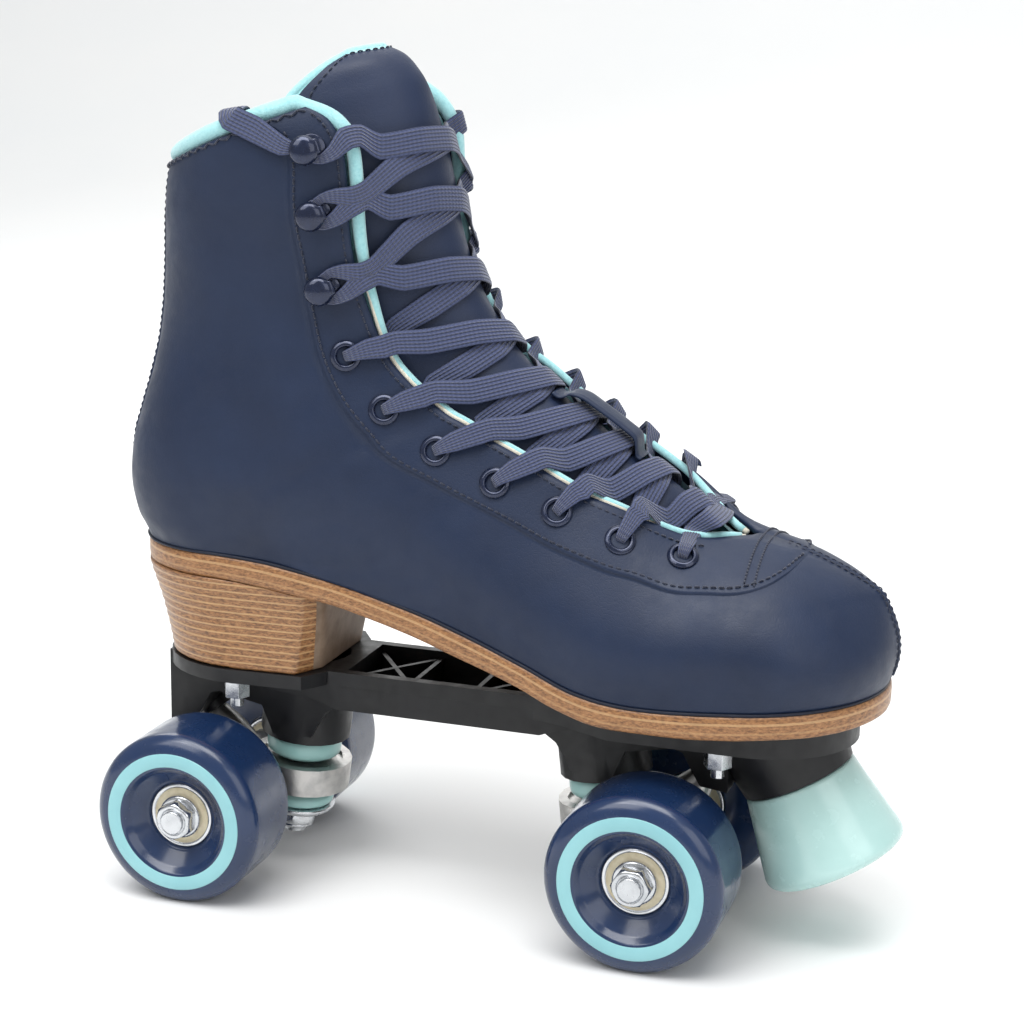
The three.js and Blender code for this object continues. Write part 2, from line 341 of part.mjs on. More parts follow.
// ---------- plate ----------
const a0 = [Math.sin(KING_LEAN), 0, -Math.cos(KING_LEAN)];        // down the front kingpin
const king = (t) => V(KING_TOP, a0, t);
const mirrorX = (m) => m.rotate([0, 0, 180]);
const stopDir = [Math.sin(STOP_LEAN), 0, -Math.cos(STOP_LEAN)];
const armDir = unit([14.5, 0, 20.5]);
const rearFlange = D(-101.2, -38, 29.8, 20).map(([x, y]) => [x, y]);
const frontFlange = []; for (let i = -12; i <= 12; i++) { const a = Math.PI / 2 * i / 12; frontFlange.push([104 + 32.5 * Math.cos(a), 30.5 * Math.sin(a)]); }
frontFlange.push([62, 30.5], [44, 22], [34, RAIL_HALF + 0.8], [34, -RAIL_HALF - 0.8], [44, -22], [62, -30.5]);
function plateSolid() {
  const half = (frontHalf) => {
    const parts = [];
    // channel walls, kingpin boss, pivot block
    parts.push(side([[0, RAIL_LOW], [36, RAIL_LOW], [40.5, 58.5], [44, 53], [46, 49], [60, 49], [64, 58.5], [80, 61.5], [83, 60.5], [86, 55], [89, 50], [98, 49], [98, 74.5], [0, 74.5]], -14.5, 14.5));
    parts.push(side([[0, RAIL_LOW], [36, RAIL_LOW], [42, 64], [60, 66], [60, 74.5], [0, 74.5]], -RAIL_HALF, RAIL_HALF));
    parts.push(box(0, 60, -RAIL_HALF - 0.8, RAIL_HALF + 0.8, FLANGE_REAR, PLATE_TOP));
    parts.push(rod(15.4, king(0), king(-24), 20));
    return union(parts);
  };
  const below = box(-200, 200, -60, 60, -50, PLATE_TOP);
  let rear = mirrorX(half(false)).add(plan(rearFlange, FLANGE_REAR, PLATE_TOP));
  rear = rear.subtract(side([[-108, 40], [-97.2, 44], [-101, FLANGE_REAR], [-108, FLANGE_REAR]], -40, 40));
  let front = half(true).add(plan(frontFlange, FLANGE_FRONT, PLATE_TOP));
  front = front.add(turned([[0, 0], [18.8, 0], [21, 14], [21, 34], [0, 34]], stopDir.map((v) => -v), STOP_TOP, 20));
  front = front.subtract(box(130, 160, -40, 40, 40, 66).rotate([0, 0, 0]).intersect(box(200, 201, 0, 1, 0, 1)));
  let body = rear.add(front).intersect(below);
  // hollows: channel between the bosses, wells over the kingpins, sockets, bolt holes
  body = body.subtract(side([[-32, 64.4], [-26, 64.2], [26, 64.2], [32, 64.4], [32, 80], [-32, 80]], -15.6, 15.6));
  const ribs = [];
  for (const [p, q] of [[[-32, -15.6], [-10, 15.6]], [[-32, 15.6], [-10, -15.6]], [[12, -15.6], [32, 12]], [[12, 15.6], [32, -12]]]) {
    const d = unit([q[0] - p[0], q[1] - p[1], 0]), n = [-d[1] * 0.8, d[0] * 0.8];
    ribs.push(plan([[p[0] + n[0], p[1] + n[1]], [p[0] - n[0], p[1] - n[1]], [q[0] - n[0], q[1] - n[1]], [q[0] + n[0], q[1] + n[1]]], 64, 72.5));
  }
  for (const x of [-10, 12]) ribs.push(box(x - 0.8, x + 0.8, -15.8, 15.8, 64, 72.5));
  body = body.add(union(ribs).intersect(box(-32.5, 32.5, -15.8, 15.8, 60, 80)));
  const cuts = [];
  for (const m of [(q) => q, mirrorX]) {
    cuts.push(m(rod(12.6, king(-13.5), king(-34), 16)), m(rod(KING_R + 0.35, king(3), king(-20), 12)));
    cuts.push(m(rod(6.6, V(PIVOT, armDir, -16), V(PIVOT, armDir, 6.2), 16)));
  }
  cuts.push(rod(6.4, V(STOP_TOP, stopDir, 3), V(STOP_TOP, stopDir, -17.5), 16));
  return cuts.reduce((a, b) => a.subtract(b), body);
}
const BOLTS = [[-69.5, -22, FLANGE_REAR], [-69.5, 22, FLANGE_REAR], [96.4, -22.5, FLANGE_FRONT], [96.4, 22.5, FLANGE_FRONT]];
let plate = plateSolid();
for (const [x, y, z] of BOLTS) {
  const hole = rod(2.75, [x, y, 40], [x, y, soleTop(x) + 12], 8);
  plate = plate.subtract(hole); heel = heel.subtract(hole); outsole = outsole.subtract(hole);
  upperSolid = upperSolid.subtract(hole);
  lining = lining.subtract(rod(5.6, [x, y, soleTop(x) + 0.6], [x, y, soleTop(x) + 12], 8));
}
insole = BOLTS.reduce((a, [x, y]) => a.subtract(rod(5.6, [x, y, soleTop(x) + 2], [x, y, soleTop(x) + 14], 8)), insole);
const screwBolt = ([x, y, z]) => union([rod(2.4, [x, y, z - 10.2], [x, y, soleTop(x) + 4], 8), turned([[0, 0], [4.9, 0], [3.6, 2.2], [0, 2.4]], [0, 0, 1], [x, y, soleTop(x) + 3.1], 10)]);
const hexPrism = (af, h, hole, dir, at) => { const R = af / Math.sqrt(3); const s = new THREE.Shape(); for (let i = 0; i < 6; i++) { const a = Math.PI / 3 * i; i ? s.lineTo(R * Math.cos(a), R * Math.sin(a)) : s.moveTo(R, 0); } const g = new THREE.ExtrudeGeometry(s, { depth: h, bevelEnabled: false }); g.applyQuaternion(new THREE.Quaternion().setFromUnitVectors(new THREE.Vector3(0, 0, 1), new THREE.Vector3(...unit(dir)))); g.translate(...at); let m = toManifold(g); return hole ? m.subtract(rod(hole, V(at, unit(dir), -1), V(at, unit(dir), h + 12), 12)) : m; };
const plateNut = ([x, y, z]) => hexPrism(8, 5.8, 0, [0, 0, -1], [x, y, z - 0.9]).add(turned([[0, 0.3], [5, 0.3], [4.8, 1.2], [0, 1.2]], [0, 0, -1], [x, y, z], 12)).subtract(rod(2.65, [x, y, z + 1], [x, y, z - 12], 8));

// ---------- truck parts, drawn for the front; the rear is the same turned half round ----------
function hangerSolid() {
  const parts = [];
  parts.push(turned([[0, 0], [17, 0], [17, 9.6], [0, 9.6]], a0.map((v) => -v), king(18.3), 20));
  parts.push(rod(8, [AXLE_X, -20.2, WHEEL_R], [AXLE_X, 20.2, WHEEL_R], 16), rod(5.6, [AXLE_X, -22.5, WHEEL_R], [AXLE_X, 22.5, WHEEL_R], 14));
  parts.push(plan([[62, -15.2], [78, -17.5], [81, -10], [81, 10], [78, 17.5], [62, 15.2]], 31.4, 37));
  parts.push(turned([[0, 0], [8.2, 0], [6.4, 12], [4.4, 18.2], [3.1, 22.4], [0, 22.4]], armDir, V(PIVOT, armDir, -24.5), 10));
  parts.push(turned([[0, -4.2], [2.2, -3.6], [3.6, -2.1], [4.2, 0], [3.6, 2.1], [2.2, 3.6], [0, 4.2]], armDir, PIVOT, 10));
  parts.push(rod(2.9, V(PIVOT, armDir, -6), PIVOT, 8));
  parts.push(side([[68, 34], [84, 47.5], [79, 31], [72, 31.5]], -3, 3));
  let m = union(parts);
  m = m.subtract(rod(7.3, king(5), king(22), 10)).subtract(rod(13.9, king(5), king(9.9), 16));
  m = m.subtract(rod(AXLE_R + 0.3, [AXLE_X, -30, WHEEL_R], [AXLE_X, 30, WHEEL_R], 12));
  return largest(m);
}
const hanger = hangerSolid();
const axle = rod(AXLE_R, [AXLE_X, -56.2, WHEEL_R], [AXLE_X, 56.2, WHEEL_R], 14);
const kingpin = union([rod(KING_R, king(-14.4), king(37.2), 12), hexPrism(13, 5.6, 0, a0.map((v) => -v), king(-13.8))]);
const cushionUp = turned([[4.5, 0.3], [12.4, 0.3], [12.8, 3], [12.7, 6.6], [9.0, 8.7], [4.5, 8.9], [4.5, 0.3]], a0, KING_TOP, 15);
const cushionLow = turned([[4.5, 18.95], [6.5, 19.1], [12.2, 21.8], [12.2, 24], [11.2, 25.2], [4.5, 25.2], [4.5, 18.95]], a0, KING_TOP, 15);
const washer = turned([[4.4, 25.5], [12.9, 25.5], [11.8, 28], [4.4, 28], [4.4, 25.5]], a0, KING_TOP, 15);
const kingNut = hexPrism(13, 5.2, 0, a0, king(28.3)).add(turned([[0, 28.3], [6.2, 28.3], [6.2, 35], [0, 35]], a0, KING_TOP, 10)).subtract(rod(KING_R + 0.3, king(27), king(38), 12));
const pivotCup = turned([[0, 5.9], [6.3, 5.9], [6.3, -4.5], [4.9, -4.5], [4.7, 0], [3.8, 3.2], [0, 4.7]], armDir, PIVOT, 12);
const stopSolid = turned([[6.2, 0.3], [18.6, 0.3], [23.9, STOP_LEN - 4], [23.2, STOP_LEN - 1.2], [21, STOP_LEN], [0, STOP_LEN], [0, 12], [6.2, 12], [6.2, 0.3]], stopDir, STOP_TOP, 20);
const stopBolt = turned([[0, 11.6], [5.9, 11.6], [5.9, -16], [5, -17], [0, -17]], stopDir, STOP_TOP, 14);

// ---------- wheel, drawn about +Y with the outer face at the top; same for all four ----------
const WO = WHEEL_OUT, WI = WHEEL_IN, RE = 7;
const tyre = [];
for (let i = 0; i <= 2; i++) { const a = Math.PI / 2 * i / 2; tyre.push([WHEEL_R - RE + RE * Math.sin(a), WI + RE * 0.75 * (1 - Math.cos(a))]); }
for (let i = 2; i >= 0; i--) { const a = Math.PI / 2 * i / 2; tyre.push([WHEEL_R - RE + RE * Math.sin(a), WO - RE * 0.75 * (1 - Math.cos(a))]); }
const wheelProfile = [...tyre, [18.4, WO], [16.6, WO - 2.6], [12, WO - 6.2], [11.3, WO - 6.4], [11.3, WO - 14.1], [9, WO - 14.3], [9, WI + 8.4], [11.3, WI + 8.2], [11.3, WI], tyre[0]];
const wheelGeo = toGeometry(toManifold(lathe(wheelProfile, 20)));
const ringGeo = (y0) => { const g = lathe([[BEARING_BORE + 0.1, y0], [BEARING_R, y0], [BEARING_R, y0 + BEARING_W], [BEARING_BORE + 0.1, y0 + BEARING_W], [BEARING_BORE + 0.1, y0]], 12); return toGeometry(toManifold(g)); };
const bearingOut = ringGeo(WO - 6.6 - BEARING_W), bearingIn = ringGeo(WI + 0.9);
const axleNut = hexPrism(11.5, 5.4, 0, [0, 1, 0], [0, WO - 5.6, 0]).add(turned([[0, WO - 6.2], [7.2, WO - 6.2], [7, WO - 5.2], [0, WO - 5.2]], [0, 1, 0], [0, 0, 0], 12)).subtract(rod(AXLE_R + 0.25, [0, WO - 8, 0], [0, WO + 3, 0], 12));

// ---------- lace: one flat ribbon, made whole along its route ----------
const LACE_W = 8.2, LACE_T = 1.2;
const ALL = [...HOOKS, ...EYES];
const way = [];                                        // { p, n, w }
const put = (p, n, w = LACE_W, low = 0) => way.push({ p, n, w, low });
const spot = (s, i) => { const [k, f] = place(s, ALL[i]), c = upper(s, k, f), n = normalAt(s, k, f), up = upper(s, k, Math.min(1, f + 0.04)); const fwd = unit(V(up, c, -1)); const alongK = unit(V(upper(s, k + 0.3, f), upper(s, Math.max(0, k - 0.3), f), -1)); return { s, k, f, c, n, fwd, alongK, e: place(s, ALL[i])[2] }; };
const rel = (q, a, h, b = 0) => V(V(V(q.c, q.fwd, a), q.n, h), q.alongK, b);
const neg = (n) => n.map((v) => -v);
function enter(q, back = false) {                      // from outside over the eyelet, through it, to the inside; back: the other way
  const on = (a, h) => skin(q.s, q.k, fOf(q.s, q.k, q.e - a), h);
  const l = [[on(6.8, 2.7), q.n, 6.4], [rel(q, 2.2, 2.6), q.n, 4.4], [rel(q, 0, 1.3), null, 3.5], [rel(q, -0.2, -3.2), null, 3.3], [on(1.8, -4.7), null, 4.2], [on(4.8, -4.9), neg(q.n), 5.8], [on(q.e - 0.6, -5), neg(normalAt(q.s, q.k, 0.97)), 6.8, 1]];
  if (back) l.reverse(); l.forEach((a) => put(...a));
}
function roundHook(q, u) {                             // behind the shank, between base and cap
  [[8, 2.7, 3.4, 5], [3.4, 2.5, 4.2, 3.1], [0.1, 2.5, 2.5, 2.9], [0.1, 2.5, -2.5, 2.9], [3.4, 2.5, -4.2, 3.1], [8, 2.7, -3.4, 5]].forEach(([a, h, b, w]) => put(rel(q, a, h, b * u), q.n, w));
}
function lip(q, dk, w) {                               // over the edge of a facing
  const k = q.k + dk, B = catmull(BASE, k), T = catmull(q.s < 0 ? TOPR : TOPL, k), u = unit([T[0] - B[0], 0, T[1] - B[1]]), n = normalAt(q.s, k, 0.96);
  const hk = q.k < 5.6;
  return [{ p: skin(q.s, k, fOf(q.s, k, 0.9), hk ? 2.6 : 2.8), n, w }, { p: V(skin(q.s, k, 1, hk ? -2.4 : -0.4), u, hk ? 3.8 : 3.2), n: unit(V(u, n, 0.7)), w }];
}
function overTongue(U, L, high, hookLow) {              // from its upper end U, outside, to its lower end L, under the facing (outside at a hook)
  const list = [], k0 = U.k + (hookLow ? 0.25 : 0.1), k1 = L.k - (hookLow ? 0.25 : 0.1);
  const add = (t, T, extra, low = 0) => { const k = k0 + (k1 - k0) * t, x = T * U.s, h = 1.3 + extra + (high ? 1.9 * Math.sin(Math.PI * t) : 0.2 * Math.sin(Math.PI * t)); list.push({ p: tongueSkin(k, x, h), n: unit(V(tongueSkin(k, x, 1), tongueSkin(k, x, 0), -1)), w: LACE_W, low }); };
  list.push(...lip(U, 0.08, 7.4));
  add(0.2, 0.66, 1.5); add(0.34, 0.34, 0.1); add(0.5, 0.04, 0); add(0.64, -0.26, 0); add(0.78, -0.56, hookLow ? 1.4 : 0, hookLow ? 0 : 1);
  if (hookLow) list.push(...lip(L, -0.1, 7).reverse()); else { add(0.91, -0.8, 0.1, 1); list[list.length - 1].w = 6.8; }
  return list;
}
function collarEnd(s, reverse) {                       // from the top hook over the collar and down inside
  const q = spot(s, 0), list = [], add = (p, n, w = LACE_W) => list.push({ p, n, w });
  const C = (k, e, h) => skin(s, k, fOf(s, k, e), h), Nn = (k, e) => normalAt(s, k, fOf(s, k, e)), upv = unit([-14, 0, 78]);
  for (const [a, h, b, w] of [[8, 2.7, 3.4, 5], [3.4, 2.5, 4.2, 3.1], [-0.1, 2.5, 2.3, 2.9], [-2.6, 2.5, -1.0, 3.2], [-6.8, 1.8, -3.4, 6]]) add(rel(q, a, h, b), q.n, w);
  const n0 = Nn(0.2, 21);
  add(C(0.6, 21, 1.5), n0); add(V(C(0, 22, 1.4), upv, 1.2), n0); add(V(C(0, 22, -0.6), upv, 3.4), unit(V(n0, upv, 1.2)));
  add(V(C(0, 22, -3.6), upv, 4.4), upv); add(V(C(0, 22, -8), upv, 3.8), unit(V(upv, n0, -1.2))); add(C(0.3, 22.5, -9), neg(n0));
  add(C(1.8, 24, -9.2), neg(Nn(1.8, 22))); add(C(3.6, 26, -9.4), neg(Nn(3.2, 24)));
  if (reverse) list.reverse(); list.forEach((a) => way.push(a));
}
const HIGH = (upperSide) => upperSide < 0;             // strands whose upper end is on the right side lie on top
collarEnd(-1, true);
for (let i = 0, sd = -1; i < 9; i++, sd = -sd) {
  const a = spot(sd, i), b = spot(-sd, i + 1);
  way.push(...overTongue(a, b, HIGH(sd), i + 1 < 3));
  if (i + 1 < 3) roundHook(b, -1); else enter(b, true);
}
{ const F = spot(1, 9), R = spot(-1, 9), mid = tongueSkin(21.1, 0, 3.2);
  for (const t of [0.3, 0.5, 0.7]) { const p = mix(rel(F, 6.6, 2.1), rel(R, 6.6, 2.1), t); put([p[0] + (mid[0] - p[0]) * Math.sin(Math.PI * t), p[1], Math.max(p[2], p[2] + (mid[2] - p[2]) * Math.sin(Math.PI * t))], unit([0.5, 0, 0.86])); } }
enter(spot(-1, 9));
for (let i = 8, sd = 1; i >= 0; i--, sd = -sd) {
  const b = spot(-sd, i + 1), a = spot(sd, i);
  way.push(...overTongue(a, b, HIGH(sd), i + 1 < 3).reverse());
  if (i === 0) collarEnd(1, false); else if (i < 3) roundHook(a, 1); else enter(a);
}
const LACE_LENGTH = way.reduce((a, w, i) => a + (i ? Math.hypot(...V(w.p, way[i - 1].p, -1)) : 0), 0);
function laceSolid(dw = 0, dt = 0, lowOnly = false) {
  let prev = null; const rows = [];
  way.forEach((w, i) => {
    const d = unit(V(way[Math.min(i + 1, way.length - 1)].p, way[Math.max(i - 1, 0)].p, -1));
    let s = w.n ? cross(w.n, d) : prev; const dd = s[0] * d[0] + s[1] * d[1] + s[2] * d[2]; s = unit(V(s, d, -dd));
    if (prev && s[0] * prev[0] + s[1] * prev[1] + s[2] * prev[2] < 0) s = neg(s);
    prev = s; const m = cross(d, s), a = (w.w + dw) / 2, b = (LACE_T + dt) / 2;
    rows.push([V(V(w.p, s, -a), m, -b), V(V(w.p, s, a), m, -b), V(V(w.p, s, a), m, b), V(V(w.p, s, -a), m, b)]);
  });
  if (!lowOnly) return toManifold(fromGrid(rows));
  const runs = []; let run = null;
  way.forEach((w, i) => { if (w.low) { if (!run) runs.push(run = []); run.push(rows[i]); } else run = null; });
  return runs.filter((r) => r.length > 1).map((r) => toManifold(fromGrid(r)));
}
const lace = laceSolid();
// leather loop on the tongue that holds the lace
function keeperSolid() {
  const rows = []; for (const [k, h, w] of [[13.1, 0.45, 5], [13.5, 0.5, 5], [13.9, 3.8, 4.9], [14.5, 5.3, 4.8], [15.9, 5.6, 4.7], [17.2, 5.3, 4.7], [17.5, 3.0, 4.8], [17.68, 0.6, 4.8], [17.9, 0.45, 4.8]]) {
    const loop = []; for (const [t, hh] of [[-1, 0], [0, 0.35], [1, 0], [1, 1.2], [0, 1.55], [-1, 1.2]]) { const p = tongueSkin(k, 0, h + hh); p[1] += t * w; loop.push(p); }
    rows.push(loop);
  }
  return toManifold(fromGrid(rows));
}

// ---------- tongue, and the room the lace presses into the padding ----------
const press = laceSolid(0.4, 0.4);
const tongue = largest(laceSolid(0.9, 0.8, true).reduce((a, b) => a.subtract(b), tongueSolid(4.5)).subtract(press));
for (const s of [-1, 1]) for (const q of EYES.slice(1, 3)) { const [k, f] = place(s, q), c = upper(s, k, f), n = normalAt(s, k, f); for (const r of [6, 5.9]) lining = lining.subtract(rod(r, V(c, n, -8), V(c, n, -1), 6)); }
const stayLeft = eyeStay(1).subtract(press);
for (const d of [[0, 0, 0], [0, -0.35, 0], [0, 0, -0.3]]) lining = lining.subtract(stayLeft.translate(d));
upperSolid = largest(upperSolid.subtract(laceSolid(0.8, 0.66))); lining = largest(lining.subtract(press));

// ---------- the named parts ----------
part('boot_upper', 'leather_navy', upperSolid);
part('boot_lining', 'fleece_aqua', lining);
part('tongue', 'leather_navy', tongue);
part('lace_keeper', 'leather_navy', keeperSolid().subtract(press));
part('insole', 'fleece_aqua', insole);
part('outsole', 'sole_wood', outsole);
part('heel_block', 'sole_wood', heel);
part('backstay', 'leather_navy', backstay());
part('eyelet_stay_right', 'metal_navy', eyeStay(-1));
part('eyelet_stay_left', 'metal_navy', stayLeft);
HOOKS.forEach((q, i) => { part(`hook_right_${i + 1}`, 'metal_navy', hook(-1, q).subtract(press)); part(`hook_left_${i + 1}`, 'metal_navy', hook(1, q)); });
part('lace', 'lace_navy', lace);
part('plate', 'plate_black', plate);
part('toe_stop', 'urethane_aqua', stopSolid);
part('toe_stop_bolt', 'zinc_steel', stopBolt);
BOLTS.forEach((b, i) => { const n = ['rear_right', 'rear_left', 'front_right', 'front_left'][i]; part(`mount_bolt_${n}`, 'zinc_steel', screwBolt(b)); part(`mount_nut_${n}`, 'zinc_steel', plateNut(b)); });
for (const end of ['front', 'rear']) {
  const turn = (m) => end === 'front' ? m : m.rotate([0, 0, 180]);
  part(`hanger_${end}`, 'cast_metal', turn(hanger)); part(`axle_${end}`, 'zinc_steel', turn(axle)); part(`kingpin_${end}`, 'zinc_steel', turn(kingpin));
  part(`cushion_upper_${end}`, 'urethane_aqua', turn(cushionUp)); part(`cushion_lower_${end}`, 'urethane_aqua', turn(cushionLow));
  part(`cushion_washer_${end}`, 'zinc_steel', turn(washer)); part(`kingpin_nut_${end}`, 'zinc_steel', turn(kingNut)); part(`pivot_cup_${end}`, 'urethane_aqua', turn(pivotCup));
  for (const sideName of ['right', 'left']) {
    const flip = sideName === 'right', x = end === 'front' ? AXLE_X : -AXLE_X;
    const at = (m) => { let g = m.isBufferGeometry ? toManifold(m) : m; if (flip) g = g.rotate([0, 0, 180]); return g.translate([x, 0, WHEEL_R]); };
    part(`wheel_${end}_${sideName}`, 'urethane_navy', at(wheelGeo));
    part(`bearing_${end}_${sideName}_outer`, 'zinc_steel', at(bearingOut)); part(`bearing_${end}_${sideName}_inner`, 'zinc_steel', at(bearingIn));
    part(`axle_nut_${end}_${sideName}`, 'zinc_steel', at(axleNut));
  }
}
export default group;
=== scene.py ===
import bpy, bmesh, math
import numpy as np
from mathutils import Vector, Matrix


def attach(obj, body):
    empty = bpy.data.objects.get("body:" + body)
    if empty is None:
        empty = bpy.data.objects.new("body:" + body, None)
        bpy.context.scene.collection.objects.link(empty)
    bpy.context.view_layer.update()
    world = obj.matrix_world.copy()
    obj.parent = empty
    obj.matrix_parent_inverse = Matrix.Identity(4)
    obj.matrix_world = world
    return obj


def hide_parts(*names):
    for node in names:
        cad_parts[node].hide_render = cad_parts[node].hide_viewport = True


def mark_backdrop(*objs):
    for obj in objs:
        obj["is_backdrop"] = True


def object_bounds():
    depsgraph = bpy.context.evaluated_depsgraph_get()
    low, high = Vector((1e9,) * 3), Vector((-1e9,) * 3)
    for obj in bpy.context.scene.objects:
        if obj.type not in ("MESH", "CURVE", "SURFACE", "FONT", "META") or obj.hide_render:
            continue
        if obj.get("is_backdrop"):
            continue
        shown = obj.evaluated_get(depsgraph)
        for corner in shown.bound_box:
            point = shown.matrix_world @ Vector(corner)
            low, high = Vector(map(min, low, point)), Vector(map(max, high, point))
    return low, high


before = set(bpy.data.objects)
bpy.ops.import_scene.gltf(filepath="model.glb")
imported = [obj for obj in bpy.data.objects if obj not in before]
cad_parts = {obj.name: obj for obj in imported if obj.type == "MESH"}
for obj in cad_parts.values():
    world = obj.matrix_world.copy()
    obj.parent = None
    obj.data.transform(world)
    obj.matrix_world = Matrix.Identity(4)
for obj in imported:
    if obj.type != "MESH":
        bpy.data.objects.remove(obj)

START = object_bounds()
SHIFT = -18.23
pi = math.pi
scene = bpy.context.scene

# ------------------------------------------------------------------ small vector help
def V(a, b, s=1.0): return [a[0] + b[0] * s, a[1] + b[1] * s, a[2] + b[2] * s]
def unit(a):
    l = math.sqrt(a[0] ** 2 + a[1] ** 2 + a[2] ** 2) or 1.0
    return [a[0] / l, a[1] / l, a[2] / l]
def cross(a, b): return [a[1] * b[2] - a[2] * b[1], a[2] * b[0] - a[0] * b[2], a[0] * b[1] - a[1] * b[0]]
def dot(a, b): return a[0] * b[0] + a[1] * b[1] + a[2] * b[2]
def mix(a, b, t): return [x + (y - x) * t for x, y in zip(a, b)]
def neg(a): return [-x for x in a]
def sstep(a, b, x):
    t = min(max((x - a) / (b - a), 0.0), 1.0)
    return t * t * (3 - 2 * t)
def rnd(i):                                   # repeatable scatter
    return (math.sin(i * 12.9898 + 4.1) * 43758.5453) % 1.0

# ------------------------------------------------------------------ the boot's shape
def spline(xs, ys):
    n = len(xs); d = [(ys[i + 1] - ys[i]) / (xs[i + 1] - xs[i]) for i in range(n - 1)]
    m = [0.0] * n; m[0] = d[0]; m[-1] = d[-1]
    for i in range(1, n - 1):
        if d[i - 1] * d[i] > 0:
            h0, h1 = xs[i] - xs[i - 1], xs[i + 1] - xs[i]; w0, w1 = 2 * h1 + h0, h1 + 2 * h0
            m[i] = (w0 + w1) / (w0 / d[i - 1] + w1 / d[i])
    def f(x):
        if x <= xs[0]: return ys[0]
        if x >= xs[-1]: return ys[-1]
        i = 0
        while x > xs[i + 1]: i += 1
        h = xs[i + 1] - xs[i]; t = (x - xs[i]) / h; t2 = t * t; t3 = t2 * t
        return (2 * t3 - 3 * t2 + 1) * ys[i] + (t3 - 2 * t2 + t) * h * m[i] + (-2 * t3 + 3 * t2) * ys[i + 1] + (t3 - t2) * h * m[i + 1]
    return f
def catmull(tab, k):
    n = len(tab) - 1; k = min(max(k, 0.0), n); i = min(int(k), n - 1); t = k - i
    p1, p2 = tab[i], tab[i + 1]
    p0 = tab[i - 1] if i > 0 else [2 * a - b for a, b in zip(p1, p2)]
    p3 = tab[i + 2] if i < n - 1 else [2 * b - a for a, b in zip(p1, p2)]
    return [0.5 * (2 * b + (c - a) * t + (2 * a - 5 * b + 4 * c - d) * t * t + (3 * b - a - 3 * c + d) * t ** 3) for a, b, c, d in zip(p0, p1, p2, p3)]
BASE = [[-97.3, 241.5], [-99, 233], [-100, 222], [-100.3, 210], [-101, 197], [-102.5, 184], [-105.5, 171], [-109.5, 158], [-112.8, 146], [-113.6, 135], [-112, 124],
  [-108.6, 115.2], [-103.5, 114.6], [-95, 114.6], [-80, 114.6], [-58, 113.6], [-34, 109.6], [-10, 103.6], [14, 97], [36, 90.3], [55, 84.5], [74, 82.6], [93, 83.2], [110, 84.4], [124, 85.4], [134.3, 86], [140.5, 86.3], [143.8, 86.4], [144.5, 86.4]]
TOPR = [[-42.5, 263.5, 27], [-32, 258.5, 26], [-26.5, 250, 27], [-24.8, 238, 27], [-24.3, 226, 27], [-22.8, 212.5, 26], [-20, 201, 25], [-17, 190.5, 24], [-13, 182.5, 24], [-7.5, 176.5, 24], [-2, 172, 24],
  [3, 168.5, 24], [6.5, 166.3, 24], [10.5, 164.6, 24], [17, 161.5, 24], [25, 158, 24], [34, 154, 24], [43, 149.6, 24], [52, 145.4, 23.3], [62, 142, 22], [72, 137.7, 18.5], [83, 133.6, 12], [94.5, 132.9, 3.5], [106, 130.5, 0], [117, 127.6, 0], [128, 123.4, 0], [136, 119.5, 0], [140.3, 117, 0], [142, 115.5, 0]]
TOPL = [[-24, 270.5, 20], [-15, 262.5, 24], [-10.5, 252, 26], [-8.5, 241, 27], [-7.2, 229, 27], [-5.8, 217, 27], [-3, 209.5, 27], [1.5, 200, 26], [6.5, 191, 25], [12, 184.5, 24], [17.5, 180.5, 23.5],
  [21.5, 178, 23.5], [24, 176.6, 23.3], [27.5, 174.5, 23], [32.5, 171, 22.6], [39, 166.8, 22], [46, 162.4, 22], [53, 158.5, 21.5], [60, 155, 20.5], [68, 150.8, 19], [77, 146, 16], [86, 140, 10.5], [95, 134.2, 3.5], [106, 130.5, 0], [117, 127.6, 0], [128, 123.4, 0], [136, 119.5, 0], [140.3, 117, 0], [142, 115.5, 0]]
NB = len(BASE) - 1
soleTop = spline([-110, -95, -80, -58, -34, -10, 14, 36, 55, 74, 93, 110, 124, 134.3, 146], [114.8, 114.6, 114.6, 113.6, 109.6, 103.6, 97, 90.3, 84.5, 82.6, 83.2, 84.4, 85.4, 86, 86.5])
soleBot = spline([-110, -75, -35.3, -17, 9.2, 35, 46.9, 61.9, 76.8, 98, 117, 131, 147], [107, 106.6, 102, 97.6, 90, 82.9, 78.7, 75.6, 74.8, 75.6, 77.3, 78, 79])
backX = spline([100, 115.2, 124, 135, 146, 158, 171, 184, 197, 210, 222, 233, 241.5, 260], [-108.2, -108.6, -112, -113.6, -112.8, -109.5, -105.5, -102.5, -101, -100.3, -100, -99, -97.3, -95])
outR = spline([-75, -50, -25, -5, 15, 35, 50, 64, 82, 102], [31, 31, 29.5, 29.5, 32, 36, 39.5, 42, 42.3, 41])
outL = spline([-75, -50, -25, -5, 15, 35, 50, 64, 82, 102], [31, 30.5, 28, 26.5, 28.5, 33, 37, 40, 41.5, 41])
legW = spline([114, 125, 140, 160, 180, 195, 215, 235, 250, 270], [31, 34.5, 36.5, 35.3, 33, 32.3, 33, 34.5, 35.5, 36.5])
footB = spline([0, 10, 22, 40, 60, 90], [0, 2.6, 3.4, 2, -1.5, -5])
def bulge(t, p=2.0):
    return 1.0 if t >= 1 else (0.0 if t <= 0 else math.sqrt(max(0.0, 1 - (1 - t) ** p)))
def frontX(z):
    t = min(max((z - 86.4) / (115.5 - 86.4), 0), 1)
    return 144.5 + (142 - 144.5) * t + 4.2 * math.sin(pi * t ** 0.9)
def sole(x, s, z=None):
    z = soleTop(x) if z is None else z
    return (outR if s < 0 else outL)(x) * bulge((x - backX(z)) / 33) * bulge((frontX(max(z, 86.4)) - x) / 44, 2.25)
